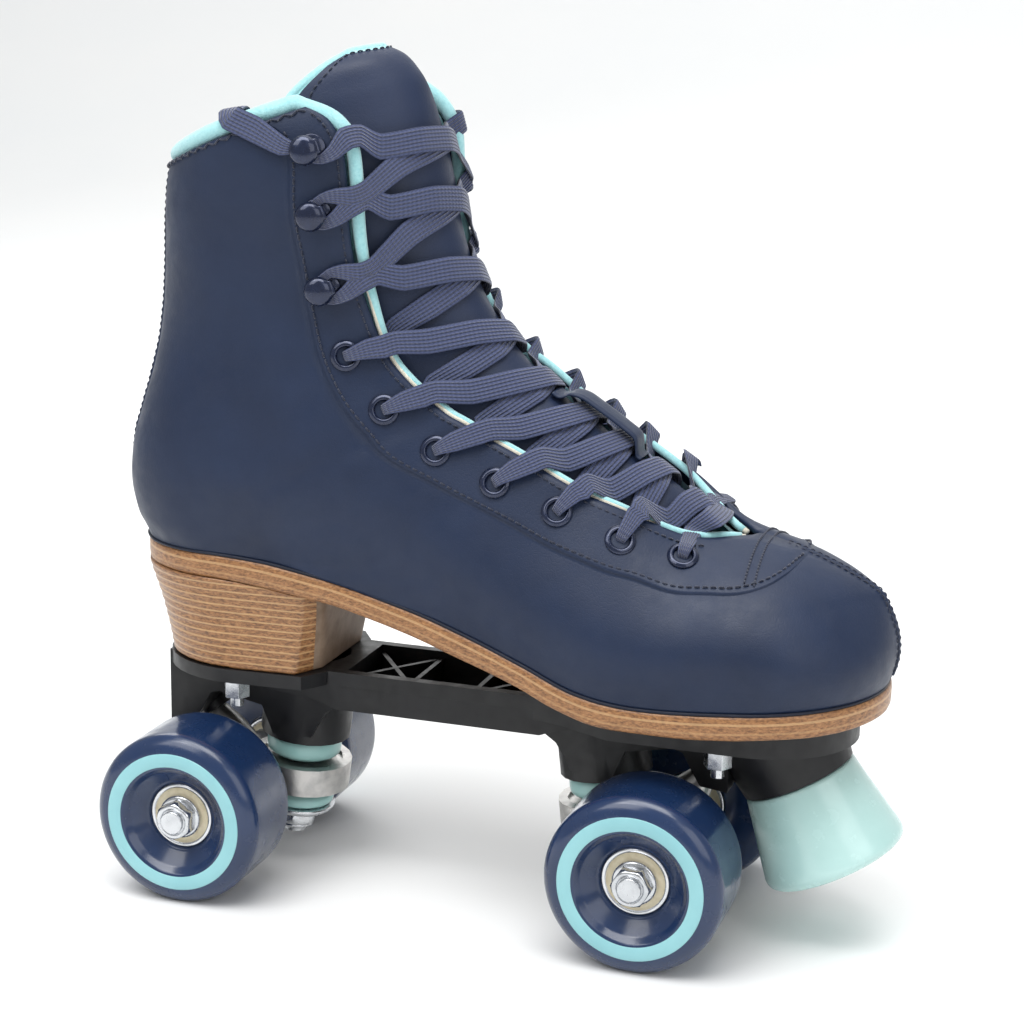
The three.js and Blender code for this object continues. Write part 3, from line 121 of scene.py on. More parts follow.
def width(x, z, s):
    o = (outR if s < 0 else outL)(x); h = max(0.0, z - soleTop(x))
    leg = legW(max(z, 114)); w = leg + (o + footB(h) - leg) * sstep(-45, 15, x)
    return w * bulge((x - backX(z)) / 33) * bulge((frontX(z) - x) / 44, 2.25)
def top(s): return TOPR if s < 0 else TOPL
def upper(s, k, f):
    B, T = catmull(BASE, k), catmull(top(s), k); g = max(0.0, T[2])
    bow = 4.2 * sstep(23.5, 28, k); L = math.hypot(T[0] - B[0], T[1] - B[1])
    x = B[0] + (T[0] - B[0]) * f + bow * math.sin(pi * max(f, 0) ** 0.9); z = B[1] + (T[1] - B[1]) * f
    W = width(x, z, s); e = (1 - f) * L; toe = sstep(19.5, 23.5, k)
    E = 34 + 12 * sstep(5, 13, k) - 13 * sstep(18, 24, k)
    S1 = 1 - (1 - min(max(e, 0) / E, 1)) ** 2; S = S1 + (bulge(e / E, 2.1) - S1) * toe
    y = W if W < g else g + (W - g) * S
    return [x, s * y, z]
def normalAt(s, k, f):
    k0, k1, f0, f1 = max(0, k - 0.05), min(NB, k + 0.05), max(0, f - 0.01), min(1, f + 0.01)
    n = unit(cross(V(upper(s, k1, f), upper(s, k0, f), -1), V(upper(s, k, f1), upper(s, k, f0), -1)))
    return n if s < 0 else neg(n)
def skin(s, k, f, off=0.0):
    n = normalAt(s, k, f)
    if k >= NB - 1e-6 or (f <= 0 and k < 11.2) or (f >= 1 and k >= 22.9): n[1] = 0.0
    return V(upper(s, k, f), unit(n), off)
def span(s, k):
    B, T = catmull(BASE, k), catmull(top(s), k); return math.hypot(T[0] - B[0], T[1] - B[1])
def fOf(s, k, e): return 1 - e / span(s, k)
def fmap(k, v):
    a = v ** 1.75; t, u = sstep(9, 14, k), sstep(18, 23, k); m1 = a + (v - a) * t
    return m1 + ((0.25 * v + 0.75 * math.sin(pi / 2 * v)) - m1) * u
EYES = [[7.36, 0.876], [9.96, 0.887], [13.96, 0.857], [16.02, 0.836], [17.76, 0.852], [19.52, 0.851], [21.08, 0.883]]
HOOKS = [[1.81, 0.838], [3.47, 0.832], [5.31, 0.841]]
def place(s, q):
    e = (1 - q[1]) * span(-1, q[0]); return q[0], fOf(s, q[0], e), e
SEAM = [[1.1, .767], [3.16, .741], [4.84, .773], [6.56, .789], [7.79, .805], [9.24, .807], [11.34, .803], [13.87, .75], [15.32, .715], [17.44, .698], [19.5, .698], [20.41, .719], [21.39, .714], [22.29, .736], [23.23, .818], [23.82, .921], [24.11, 1.0]]
seam_e = spline([p[0] for p in SEAM], [(1 - p[1]) * span(-1, p[0]) for p in SEAM])
def seam_f(s, k): return 1.0 if k >= 24.11 else fOf(s, k, seam_e(k))

# tongue
CREST = [[-27.5, 279], [-20, 275.5], [-14.5, 270], [-11.5, 263.5], [-8.8, 255], [-6.2, 246], [-3.6, 235.5], [-1.2, 223], [2.2, 211.5], [6.5, 202], [11.5, 193.5], [17, 186], [22, 180.5], [25.5, 177], [28.5, 174], [32, 171], [37, 167.6], [43, 163.6], [49.5, 159.4], [56, 155.2], [63, 150.8], [70.5, 146], [78.5, 140.6], [86, 135], [92, 130]]
def tabs(s):
    rows = []
    for k in range(-2, 23):
        kk = max(k, 0); B, T = BASE[kk], top(s)[kk]; u = unit([B[0] - T[0], 0, B[1] - T[1]])
        e = 10 + 2 * sstep(4, 0, -k + 4 - 4 if False else k) if False else 10 + 2 * (1 - sstep(0, 4, k))
        g = max(T[2], 4) - 4.6 - 1.2 * sstep(10, 20, k)
        p = [T[0] + u[0] * e, T[1] + u[2] * e - 1.5 * sstep(12, 18, k), max(g, 2)]
        if k == -1: p = [-44 if s < 0 else -34, 270.5 if s < 0 else 274, 16.5]
        if k == -2: p = [-35 if s < 0 else -31.5, 277.6 if s < 0 else 278, 5.2]
        rows.append(p)
    return rows
TAB = {-1: tabs(-1), 1: tabs(1)}
def tongueAt(k, t):
    C, A = catmull(CREST, k + 2), catmull(TAB[-1 if t < 0 else 1], k + 2); th = abs(t) * 1.22
    a, b = math.sin(th) / math.sin(1.22), (1 - math.cos(th)) / (1 - math.cos(1.22)); ye = (-1 if t < 0 else 1) * A[2]
    return [C[0] + (A[0] - C[0]) * b, 2 + (ye - 2) * a, C[1] + (A[1] - C[1]) * b]
def tongueSkin(k, t, off):
    k0, k1, t0, t1 = max(-2, k - .04), min(22, k + .04), max(-1, t - .04), min(1, t + .04)
    n = unit(cross(V(tongueAt(k, t1), tongueAt(k, t0), -1), V(tongueAt(k1, t), tongueAt(k0, t), -1)))
    return V(tongueAt(k, t), neg(n), off)

# ------------------------------------------------------------------ meshes
def make(name, verts, faces, mats, smooth=True, uvs=None, midx=None, weld=0.0):
    me = bpy.data.meshes.new(name)
    me.from_pydata([((x + SHIFT) * .001, y * .001, z * .001) for x, y, z in verts], [], faces)
    if uvs is not None:
        lay = me.uv_layers.new(name="UVMap"); li = 0
        for poly in me.polygons:
            for l in poly.loop_indices: lay.data[l].uv = uvs[me.loops[l].vertex_index]
    mats = mats if isinstance(mats, list) else [mats]
    for m in mats: me.materials.append(m)
    if midx is not None:
        for p, i in zip(me.polygons, midx): p.material_index = i
    o = bpy.data.objects.new(name, me); scene.collection.objects.link(o)
    if weld:
        bm = bmesh.new(); bm.from_mesh(me); bmesh.ops.remove_doubles(bm, verts=bm.verts, dist=weld * .001)
        bmesh.ops.dissolve_degenerate(bm, edges=bm.edges, dist=1e-6); bmesh.ops.recalc_face_normals(bm, faces=bm.faces); bm.to_mesh(me); bm.free()
    for p in me.polygons: p.use_smooth = smooth
    return o
class Bag:                                    # collects many small shapes into one mesh
    def __init__(self): self.v, self.f, self.m, self.uv = [], [], [], []
    def add(self, v, f, mi=0, uv=None):
        o = len(self.v); self.v += v; self.f += [[i + o for i in q] for q in f]
        self.m += [mi] * len(f) if isinstance(mi, int) else mi; self.uv += uv if uv else [(0.0, 0.0)] * len(v)
    def out(self, name, mats, **kw): return make(name, self.v, self.f, mats, uvs=self.uv, midx=self.m, **kw)
def grid(rows, close=False, cap0=False, cap1=False, flip=False, uvs=None):
    n, m = len(rows), len(rows[0]); v = [p for r in rows for p in r]; f = []
    for i in range(n - 1):
        for j in range(m if close else m - 1):
            a, b = i * m + j, i * m + (j + 1) % m; q = [a, b, b + m, a + m]; f.append(q[::-1] if flip else q)
    if cap0: f.append(list(range(m)) if flip else list(range(m))[::-1])
    if cap1: r = [(n - 1) * m + j for j in range(m)]; f.append(r[::-1] if flip else r)
    return v, f
def frame_of(d):
    d = unit(d); a = [0, 0, 1] if abs(d[2]) < 0.9 else [1, 0, 0]; u = unit(cross(a, d)); return u, cross(d, u), d
def lathe(bag, prof, at, direction, seg=48, mi=None, hexa=None, u0=None):
    u, w, d = frame_of(direction)
    if u0 is not None: u = unit(V(u0, d, -dot(u0, d))); w = cross(d, u)
    rows = []
    for r, h in prof:
        ring = []
        for j in range(seg):
            a = 2 * pi * j / seg; rr = r
            ring.append(V(V(V(at, u, rr * math.cos(a)), w, rr * math.sin(a)), d, h))
        rows.append(ring)
    v, f = grid(rows, close=True); k = []
    for i in range(len(prof) - 1): k += [mi[i] if isinstance(mi, list) else (mi or 0)] * seg
    if prof[0][0] < 0.02 or prof[-1][0] < 0.02: pass
    bag.add(v, f, k)
def hexnut(bag, af, h, hole, at, direction, mi=0, chamf=0.9, turn=0.0):
    u, w, d = frame_of(direction); R = af / math.sqrt(3); seg = 48; rows = []
    def hr(a):
        q = (a + turn) % (pi / 3) - pi / 6; return (af / 2) / math.cos(q)
    def ring(lim, hh, r=None): return [V(V(V(at, u, (min(hr(2 * pi * j / seg), lim) if r is None else r) * math.cos(2 * pi * j / seg)), w, (min(hr(2 * pi * j / seg), lim) if r is None else r) * math.sin(2 * pi * j / seg)), d, hh) for j in range(seg)]
    rows = [ring(99, 0, hole), ring(af / 2 * 1.0, 0), ring(99, chamf * .5), ring(99, h - chamf), ring(af / 2 * 1.04, h - chamf * .35), ring(af / 2 * .97, h), ring(99, h, hole + .35), ring(99, h - .4, hole), ring(99, 0.0, hole)]
    v, f = grid(rows, close=True); bag.add(v, f, mi)
def tube(bag, path, radius, seg=10, mi=0, squash=None, ups=None):
    rows, prev = [], None
    for i, p in enumerate(path):
        d = unit(V(path[min(i + 1, len(path) - 1)], path[max(i - 1, 0)], -1)); r = radius[i] if isinstance(radius, list) else radius
        if ups is not None: u = ups[i]
        else: u = prev or frame_of(d)[0]
        u = unit(V(u, d, -dot(u, d))); prev = u; w = cross(d, u); sq = squash or 1.0
        rows.append([V(V(p, u, r * math.cos(2 * pi * j / seg)), w, r * sq * math.sin(2 * pi * j / seg)) for j in range(seg)])
    v, f = grid(rows, close=True, cap0=True, cap1=True); bag.add(v, f, mi)
def resample(path, step):
    out, acc = [0.0], 0.0; L = [0.0]
    for a, b in zip(path, path[1:]): L.append(L[-1] + math.dist(a[0], b[0]))
    n = max(1, int(L[-1] / step)); res = []; j = 0
    for i in range(n + 1):
        t = L[-1] * i / n
        while j < len(L) - 2 and L[j + 1] < t: j += 1
        q = (t - L[j]) / max(L[j + 1] - L[j], 1e-9); a, b = path[j], path[j + 1]
        res.append((mix(a[0], b[0], q), unit(mix(a[1], b[1], q))))
    return res
def stitches(bag, path, pitch=3.0, length=2.2, r=0.42, mi=0, zig=0.0):    # path: (point, normal)
    pts = resample(path, pitch / 2)
    for i in range(0, len(pts) - 2, 2):
        (p, n), (q, _) = pts[i], pts[i + 2]; d = unit(V(q, p, -1)); s = unit(cross(n, d)); c = mix(p, q, .5)
        z = (1 if (i // 2) % 2 else -1) * zig; a = V(V(c, d, -length / 2), s, -z); b = V(V(c, d, length / 2), s, z)
        path5 = [V(mix(a, b, t), n, h) for t, h in ((0, -.25), (.14, .12), (.5, .3), (.86, .12), (1, -.25))]
        tube(bag, path5, [r * .6, r, r, r, r * .6], seg=6, mi=mi, ups=[n] * 5)

# ------------------------------------------------------------------ materials
def rgb(h): 
    c = [int(h[i:i + 2], 16) / 255 for i in (0, 2, 4)]
    return [x / 12.92 if x <= 0.04045 else ((x + 0.055) / 1.055) ** 2.4 for x in c] + [1.0]
class Mat:
    def __init__(self, name, colour, rough=0.5, metal=0.0, **kw):
        self.m = bpy.data.materials.new(name); self.m.use_nodes = True; self.t = self.m.node_tree; self.n = self.t.nodes
        self.b = self.n["Principled BSDF"]; self.colour = None; self.height = None
        self.b.inputs["Base Color"].default_value = rgb(colour); self.b.inputs["Roughness"].default_value = rough; self.b.inputs["Metallic"].default_value = metal
        for k, v in kw.items(): self.b.inputs[k].default_value = v
        self.base = rgb(colour); self.tc = self.n.new("ShaderNodeTexCoord"); self.src = self.tc.outputs["Object"]
    def link(self, a, b): self.t.links.new(a, b)
    def noise(self, scale, detail=4, rough=.55, vec=None, dist=0.0):
        n = self.n.new("ShaderNodeTexNoise"); n.inputs["Scale"].default_value = scale; n.inputs["Detail"].default_value = detail; n.inputs["Roughness"].default_value = rough; n.inputs["Distortion"].default_value = dist
        self.link(vec or self.src, n.inputs["Vector"]); return n.outputs["Fac"]
    def voronoi(self, scale, feature="DISTANCE_TO_EDGE", vec=None, rand=1.0):
        n = self.n.new("ShaderNodeTexVoronoi"); n.feature = feature; n.inputs["Scale"].default_value = scale; n.inputs["Randomness"].default_value = rand
        self.link(vec or self.src, n.inputs["Vector"]); return n.outputs["Distance"]
    def math(self, op, a, b=None, c=None):
        n = self.n.new("ShaderNodeMath"); n.operation = op
        for i, x in enumerate((a, b, c)):
            if x is None: continue
            if isinstance(x, (int, float)): n.inputs[i].default_value = x
            else: self.link(x, n.inputs[i])
        return n.outputs[0]
    def ramp(self, fac, stops, interp="LINEAR"):
        n = self.n.new("ShaderNodeValToRGB"); n.color_ramp.interpolation = interp; el = n.color_ramp.elements
        while len(el) < len(stops): el.new(0.5)
        for e, (p, c) in zip(el, stops): e.position = p; e.color = rgb(c) if isinstance(c, str) else ([c] * 3 + [1])
        self.link(fac, n.inputs[0]); return n.outputs["Color"]
    def blend(self, fac, a, b, mode="MIX"):
        n = self.n.new("ShaderNodeMix"); n.data_type = "RGBA"; n.blend_type = mode
        if isinstance(fac, (int, float)): n.inputs[0].default_value = fac
        else: self.link(fac, n.inputs[0])
        for i, x in ((6, a), (7, b)):
            if isinstance(x, (list, tuple)): n.inputs[i].default_value = x
            else: self.link(x, n.inputs[i])
        return n.outputs[2]
    def bump(self, h, strength, dist):
        n = self.n.new("ShaderNodeBump"); n.inputs["Strength"].default_value = strength; n.inputs["Distance"].default_value = dist
        self.link(h, n.inputs["Height"])
        if self.height is not None: self.link(self.height, n.inputs["Normal"])
        self.height = n.outputs["Normal"]; self.link(self.height, self.b.inputs["Normal"]); return self
    def colours(self, sock): self.link(sock, self.b.inputs["Base Color"]); return self
    def rough(self, sock): self.link(sock, self.b.inputs["Roughness"]); return self
    def vary(self, c2, scale=25, lo=.35, hi=.7, detail=5):
        self.colours(self.blend(self.ramp(self.noise(scale, detail), [(lo, 0.0), (hi, 1.0)]), self.base, rgb(c2))); return self

def leather(name, c, c2, rough=.42, grain=1.0):
    m = Mat(name, c, rough, 0, **{"Specular IOR Level": .34, "Coat Weight": .04, "Coat Roughness": .35})
    big = m.noise(38, 5); m.colours(m.blend(m.ramp(big, [(.3, 0.0), (.72, 1.0)]), rgb(c), rgb(c2)))
    m.rough(m.ramp(m.noise(160, 4), [(.25, rough - .09), (.75, rough + .12)]))
    warp = m.noise(420, 3); v1 = m.voronoi(760); v2 = m.voronoi(1900)
    m.bump(m.math("MULTIPLY", m.math("MINIMUM", v1, .12), 6.0), .16 * grain, .00022)
    m.bump(m.math("MINIMUM", v2, .2), .14 * grain, .0002); m.bump(big, .25, .0012)
    return m.m
NAVY = leather("leather_navy_mat", "1c2a45", "18243c", .46)
NAVY_DARK = leather("leather_edge_mat", "0e1424", "161d30", .5)
TONGUE_L = leather("leather_tongue_mat", "222e49", "1c2740", .48)
def fleece(name, c, c2):
    m = Mat(name, c, .95, 0, **{"Sheen Weight": .5, "Sheen Roughness": .6})
    m.colours(m.blend(m.ramp(m.noise(900, 3), [(.3, 0.0), (.75, 1.0)]), rgb(c), rgb(c2)))
    m.bump(m.noise(2600, 3, .7), .5, .0004); m.bump(m.noise(600, 4, .6), .35, .0005); return m.m
AQUA = fleece("fleece_aqua_mat", "a9dde0", "8fccd1")
FOAM = fleece("foam_cream_mat", "e9e4d3", "d9d2bd")
# inner lining: the same aqua fleece as the collar made darker, painted shade for the inside of the boot
INSIDE_SHADED_FLEECE = fleece("lining_painted_shade_mat", "8fc6cb", "79b2b9")
def thread(name, c):
    m = Mat(name, c, .6, 0, **{"Sheen Weight": .3}); m.vary(c, 500); m.bump(m.noise(3500, 2), .3, .0002); return m.m
THREAD = thread("thread_navy_mat", "101a33")
def lace_mat():
    m = Mat("lace_braid_mat", "46507c", .72, 0, **{"Sheen Weight": .35, "Sheen Roughness": .5})
    sep = m.n.new("ShaderNodeSeparateXYZ"); m.link(m.tc.outputs["UV"], sep.inputs[0]); u, v = sep.outputs[0], sep.outputs[1]
    rib = m.math("FRACT", m.math("MULTIPLY", v, 7.0)); tri = m.math("MULTIPLY", m.math("ABSOLUTE", m.math("SUBTRACT", rib, .5)), 2.0)
    ph = m.math("ADD", m.math("MULTIPLY", u, 1.0), m.math("MULTIPLY", tri, .55)); w = m.math("SINE", m.math("MULTIPLY", ph, 2 * pi))
    cell = m.math("ADD", m.math("MULTIPLY", w, .5), .5); groove = m.math("POWER", tri, 3.0)
    fine = m.noise(2600, 2)
    # braid colour is painted shade and painted light: nearly black in the grooves between strands, lighter on the
    # bulging strand crowns, following the bump pattern
    k = m.math("MULTIPLY", m.math("ADD", m.math("MULTIPLY", cell, .35), .65), m.math("SUBTRACT", 1.0, m.math("MULTIPLY", groove, .9)))
    m.colours(m.blend(m.math("MULTIPLY", m.math("ADD", m.math("MULTIPLY", k, .75), m.math("MULTIPLY", fine, .3)), 1.0), rgb("0c1226"), rgb("444f76")))
    m.bump(cell, .35, .0002); m.bump(m.math("SUBTRACT", 1.0, groove), .9, .0005); m.bump(fine, .2, .0002); return m.m
LACE = lace_mat()
def enamel(name, c, c2, rough=.22):
    m = Mat(name, c, rough, .55, **{"Coat Weight": .6, "Coat Roughness": .08}); m.vary(c2, 300)
    m.rough(m.ramp(m.noise(700, 4), [(.3, rough - .05), (.75, rough + .15)])); m.bump(m.noise(1500, 2), .04, .0001); return m.m
ENAMEL = enamel("enamel_navy_mat", "17203a", "1e2946", .2)
def sole_mat():
    m = Mat("sole_board_mat", "bd8656", .42, 0, **{"Coat Weight": .25, "Coat Roughness": .3})
    sep = m.n.new("ShaderNodeSeparateXYZ"); m.link(m.tc.outputs["UV"], sep.inputs[0]); v = sep.outputs[1]
    mp = m.n.new("ShaderNodeMapping"); m.link(m.src, mp.inputs[0]); mp.inputs["Scale"].default_value = (1, 1, 2.6)
    speck = m.ramp(m.noise(620, 6, .7, mp.outputs[0]), [(.36, "5a3820"), (.5, "94683f"), (.62, "b18052"), (.74, "c39a68")])
    big = m.noise(60, 4); c = m.blend(m.math("MULTIPLY", big, .45), speck, rgb("83552f"))
    def line(at, w): return m.math("LESS_THAN", m.math("ABSOLUTE", m.math("SUBTRACT", v, at)), w)
    c = m.blend(m.math("MULTIPLY", line(.66, .05), .5), c, rgb("cfa877")); c = m.blend(m.math("MULTIPLY", line(.28, .045), .32), c, rgb("c79f6e"))
    c = m.blend(m.math("MULTIPLY", line(.985, .03), .8), c, rgb("3a2416"))
    m.colours(c); m.rough(m.ramp(m.noise(300, 4), [(.3, .36), (.7, .55)])); m.bump(m.noise(900, 5), .12, .0003); return m.m
SOLE = sole_mat()
def heel_mat():
    m = Mat("heel_stack_mat", "b57c4b", .42, 0, **{"Coat Weight": .25, "Coat Roughness": .3})
    sep = m.n.new("ShaderNodeSeparateXYZ"); m.link(m.src, sep.inputs[0]); z, x = sep.outputs[2], sep.outputs[0]
    wob = m.math("MULTIPLY", m.noise(26, 2), .0008); lay = m.math("FRACT", m.math("MULTIPLY", m.math("ADD", z, wob), 400.0))
    mp = m.n.new("ShaderNodeMapping"); m.link(m.src, mp.inputs[0]); mp.inputs["Scale"].default_value = (1, 1, 3.4)
    speck = m.ramp(m.noise(560, 6, .7, mp.outputs[0]), [(.36, "5a3820"), (.5, "8f633c"), (.62, "ab7b4e"), (.75, "bd9463")])
    c = m.blend(m.math("MULTIPLY", m.math("LESS_THAN", lay, .24), .62), speck, rgb("cba473"))
    m.colours(c); m.bump(m.math("LESS_THAN", lay, .12), .3, .00025); m.bump(m.noise(800, 5), .12, .0003); return m.m
HEEL = heel_mat()
BREAST = Mat("heel_breast_mat", "8d7a68", .62); BREAST.vary("75614f", 160); BREAST.bump(BREAST.noise(900, 4), .2, .0003); BREAST = BREAST.m
def plastic(name, c, c2, rough=.38, grain=1.0):
    m = Mat(name, c, rough, 0, **{"Specular IOR Level": .45}); m.vary(c2, 60)
    m.rough(m.ramp(m.noise(220, 5), [(.3, rough - .08), (.75, rough + .14)])); m.bump(m.noise(1800, 3), .12 * grain, .00015); m.bump(m.noise(90, 3), .05, .0008); return m.m
BLACK = plastic("plate_nylon_mat", "0c0c0e", "141417", .42)
def metal(name, c, rough, cast=False):
    m = Mat(name, c, rough, 1.0); m.rough(m.ramp(m.noise(500 if not cast else 260, 5), [(.28, max(rough - .1, .05)), (.75, rough + .16)]))
    m.vary("8f8f90" if cast else "a9acb0", 130, .45, .9)
    m.bump(m.noise(1300 if cast else 2600, 4), .3 if cast else .06, .0003 if cast else .0001); return m.m
CAST = metal("cast_alloy_mat", "c4c2bf", .36, True)
ZINC = metal("zinc_mat", "d3d5d8", .2)
STEEL = metal("bearing_steel_mat", "dcdde0", .12)
SHIELD = Mat("bearing_shield_mat", "e7dcc0", .42); SHIELD.vary("d6c9a8", 400); SHIELD.bump(SHIELD.noise(1500, 3), .1, .0001); SHIELD = SHIELD.m
def urethane(name, c, c2, rough, sss=0.0):
    m = Mat(name, c, rough, 0, **{"Coat Weight": .35, "Coat Roughness": .12}); m.vary(c2, 45)
    m.rough(m.ramp(m.noise(150, 5), [(.3, rough - .06), (.78, rough + .16)])); m.bump(m.noise(1100, 3), .05, .0002); m.bump(m.noise(70, 2), .05, .0006); return m.m
WHEEL = urethane("wheel_urethane_mat", "162a4c", "1b3156", .2)
PRINT = urethane("wheel_print_mat", "93cbd0", "86bfc6", .36)
STOP = urethane("stop_urethane_mat", "b9dcd8", "aed3cf", .2)
CUSH = urethane("cushion_urethane_mat", "a2cdc9", "93c2be", .34)
GREYB = plastic("insole_board_mat", "8a9aa0", "75868e", .8)

# ------------------------------------------------------------------ boot upper
def crease(s, k, f, p):                        # soft wear folds at the ankle and over the toe break
    a = .16 * math.exp(-((k - 11.6) / 2.6) ** 2) * math.sin(k * 1.9 + f * 4.0 + s) * sstep(.1, .5, f) * (1 - sstep(.8, 1, f))
    b = .35 * math.sin(p[0] * .11 + p[2] * .07 + s * 2) * math.sin(p[2] * .05 + 1.3) * sstep(.02, .2, f)
    return a + b
def upper_mesh():
    bag = Bag(); NK = 170; N1, N2 = 34, 16; T = 2.0
    for s in (-1, 1):
        rows_o, rows_i = [], []
        for i in range(NK + 1):
            k = .42 + (NB - .42) * (i / NK)
            fs, edge = seam_f(s, k), 2.6 - 1.6 * sstep(4.5, 8.0, k)
            fe = 1.0 if k >= 22.6 else fOf(s, k, edge * (1 - sstep(21.5, 22.6, k)))
            fs = min(fs, fe); ro, ri = [], []
            for j in range(N1 + 1):
                f = fs * fmap(k, j / N1) if k > 11 else fs * (j / N1) ** 1.35
                p = upper(s, k, f); ro.append(skin(s, k, f, crease(s, k, f, p) * .8)); ri.append(skin(s, k, f, -T))
            st = .42 * (1 - sstep(23.6, 24.1, k))
            for j in range(N2 + 1):
                t = j / N2; f = fs + (fe - fs) * t; p = upper(s, k, f); rim = -.75 * (1 - min(1, (1 - t) * N2 / 1.6)) ** 2 if k < 22.6 else 0
                ro.append(skin(s, k, f, crease(s, k, f, p) * .8 + st + rim)); ri.append(skin(s, k, f, -T))
            rows_o.append(ro); rows_i.append(ri)
        m = len(rows_o[0]); loop = [o + i[::-1] for o, i in zip(rows_o, rows_i)]
        v, f = grid(loop, close=True, cap0=True, flip=(s > 0)); bag.add(v, f)
    return bag.out("boot_upper_leather", NAVY, weld=.02)
boot = upper_mesh(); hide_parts("boot_upper"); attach(boot, "boot")

# seams and stitching, all on one piece
st = Bag()
for s in (-1, 1):
    ks = [1.0 + (24.0 - 1.0) * i / 200 for i in range(201)]
    for de in (1.5,):
        stitches(st, [(skin(s, k, min(1, fOf(s, k, max(seam_e(k) - de, .3))), .5), normalAt(s, k, min(.98, fOf(s, k, max(seam_e(k) - de, .3))))) for k in ks], 2.5, 1.7, .3)
    ks = [.7 + (21.6 - .7) * i / 150 for i in range(151)]
    ed = lambda k: 2.6 - 1.6 * sstep(4.5, 8.0, k) + 2.2
    stitches(st, [(skin(s, k, fOf(s, k, ed(k)), .48), normalAt(s, k, fOf(s, k, ed(k)))) for k in ks], 2.4, 1.6, .28)
    fs = [.02 + (.93 - .02) * i / 60 for i in range(61)]
    stitches(st, [(skin(s, .53, f, .4), normalAt(s, .53, f)) for f in fs], 2.2, 2.0, .3, zig=.55)
def ontop(s, k, e, h): f = fOf(s, k, e); return (skin(s, k, f, h), normalAt(s, k, min(f, .97)))
stitches(st, [ontop(-1, 22.75, e, .35) for e in (9, 7, 5, 3, 1.2, .4)] + [ontop(1, 22.75, e, .35) for e in (.4, 1.2, 3, 5, 7, 9)], 1.5, 1.2, .3)
stitches(st, [ontop(-1, 23.0, e, .35) for e in (9, 7, 5, 3, 1.2, .4)] + [ontop(1, 23.0, e, .35) for e in (.4, 1.2, 3, 5, 7, 9)], 1.5, 1.2, .3)
toe_line = [(upper(-1, k, 1), unit([.38 + .12 * (k - 23), 0, .92])) for k in [23.4 + 4.6 * i / 40 for i in range(41)]] + [(upper(-1, 28, 1 - .88 * i / 16), [.97, 0, .22 - .015 * i]) for i in range(1, 17)]
for dy in (-1.7, 1.7):
    stitches(st, [(V(V(p, n, .12), [0, dy, 0]), n) for p, n in toe_line], 2.4, 1.6, .24)
sobj = st.out("boot_stitching", THREAD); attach(sobj, "boot")
ridge = Bag(); tube(ridge, [V(p, n, -.2) for p, n in toe_line], [min(.75, .2 + .12 * i) for i in range(len(toe_line))], seg=10, ups=[n for p, n in toe_line])
ro = ridge.out("toe_centre_seam", NAVY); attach(ro, "boot")

# backstay strip
bs = Bag(); rows = []
for i in range(61):
    k = .5 + 10.2 * i / 60; w = 6.6 + .8 * math.sin(pi * i / 60); ring = []
    pts = []
    for q in [x / 8 for x in range(-8, 9)]:
        s = -1 if q < 0 else 1; r = abs(q) * w; f = 0.0
        while f < .3 and abs(upper(s, k, f)[1]) < r: f += .0015
        n = [-1, 0, 0] if abs(q) < .01 else normalAt(s, k, max(f, .003)); pts.append((upper(s, k, f), n, q))
    out = [V(p, n, .35 + 1.15 * (1 - max(0, (abs(q) - .86) / .14) ** 2 * .8)) for p, n, q in pts]; inn = [V(p, n, .2) for p, n, q in pts]
    rows.append(out + inn[::-1])
bsl = [[], []]
for row in rows:
    for z, idx in enumerate((1, 15)): bsl[z].append((row[idx], [-1 if abs(row[idx][1]) < 3 else -.6, -.8 if idx == 1 else .8, 0]))
v, f = grid(rows, close=True, cap0=True, cap1=True); bs.add(v, f); bo = bs.out("backstay_leather", NAVY, weld=.01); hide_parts("backstay"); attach(bo, "boot")
b2 = Bag()
for l in bsl: stitches(b2, [(V(p, unit(n), -.2), unit(n)) for p, n in l[1:-1]], 2.4, 1.6, .26)
b2o = b2.out("backstay_stitching", THREAD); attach(b2o, "boot")

# lining: inner skin and the rolled fleece edge round collar and facings
ln = Bag()
for s in (-1, 1):
    rows = []
    for i in range(71):
        k = 27.0 * i / 70; rows.append([skin(s, k, .999 * j / 24 if k > 9 else (.985 * (j / 24) ** 1.3), -5.7 - .25 * math.sin(k * 3 + j)) for j in range(25)])
    v, f = grid(rows, flip=(s < 0)); ln.add(v, f, 1)
def rim(s, depth, rad, k_end, mi, rise=0.0, k_from=None):
    path, ups, rr = [], [], []
    for i in range(41):                       # collar, back to front
        f = .0 + .955 * i / 40; path.append(V(skin(s, .1, max(f, .002), -depth(0)), unit([-14, 0, 78]), rise + .6)); rr.append(rad(0))
    for i in range(12):                       # rounded front lobe
        a = i / 11; k = .1 + 1.5 * a; e = max(0, 2.6 * (1 - a)) ; f = fOf(s, max(k, .1), e); path.append(skin(s, k, f, -depth(k))); rr.append(rad(k))
    for i in range(1, 90):
        k = 1.6 + (k_end - 1.6) * i / 89; T = catmull(top(s), k); B = catmull(BASE, k); u = unit([T[0] - B[0], 0, T[1] - B[1]])
        path.append(V(skin(s, k, 1, -depth(k)), u, .2)); rr.append(rad(k))
    path[0] = [path[1][0], -s * 1.2, path[1][2]]
    smooth = [path[0]] + [mix(mix(path[i - 1], path[i + 1], .5), path[i], .5) for i in range(1, len(path) - 1)] + [path[-1]]
    return smooth, rr
for s in (-1, 1):
    p, r = rim(s, lambda k: 2.6 - .1 * sstep(1, 4, k), lambda k: 2.75 - .5 * sstep(.6, 2.2, k) - .95 * sstep(3.2, 7.5, k), 22.2, 0); tube(ln, p, r, seg=14, mi=0)
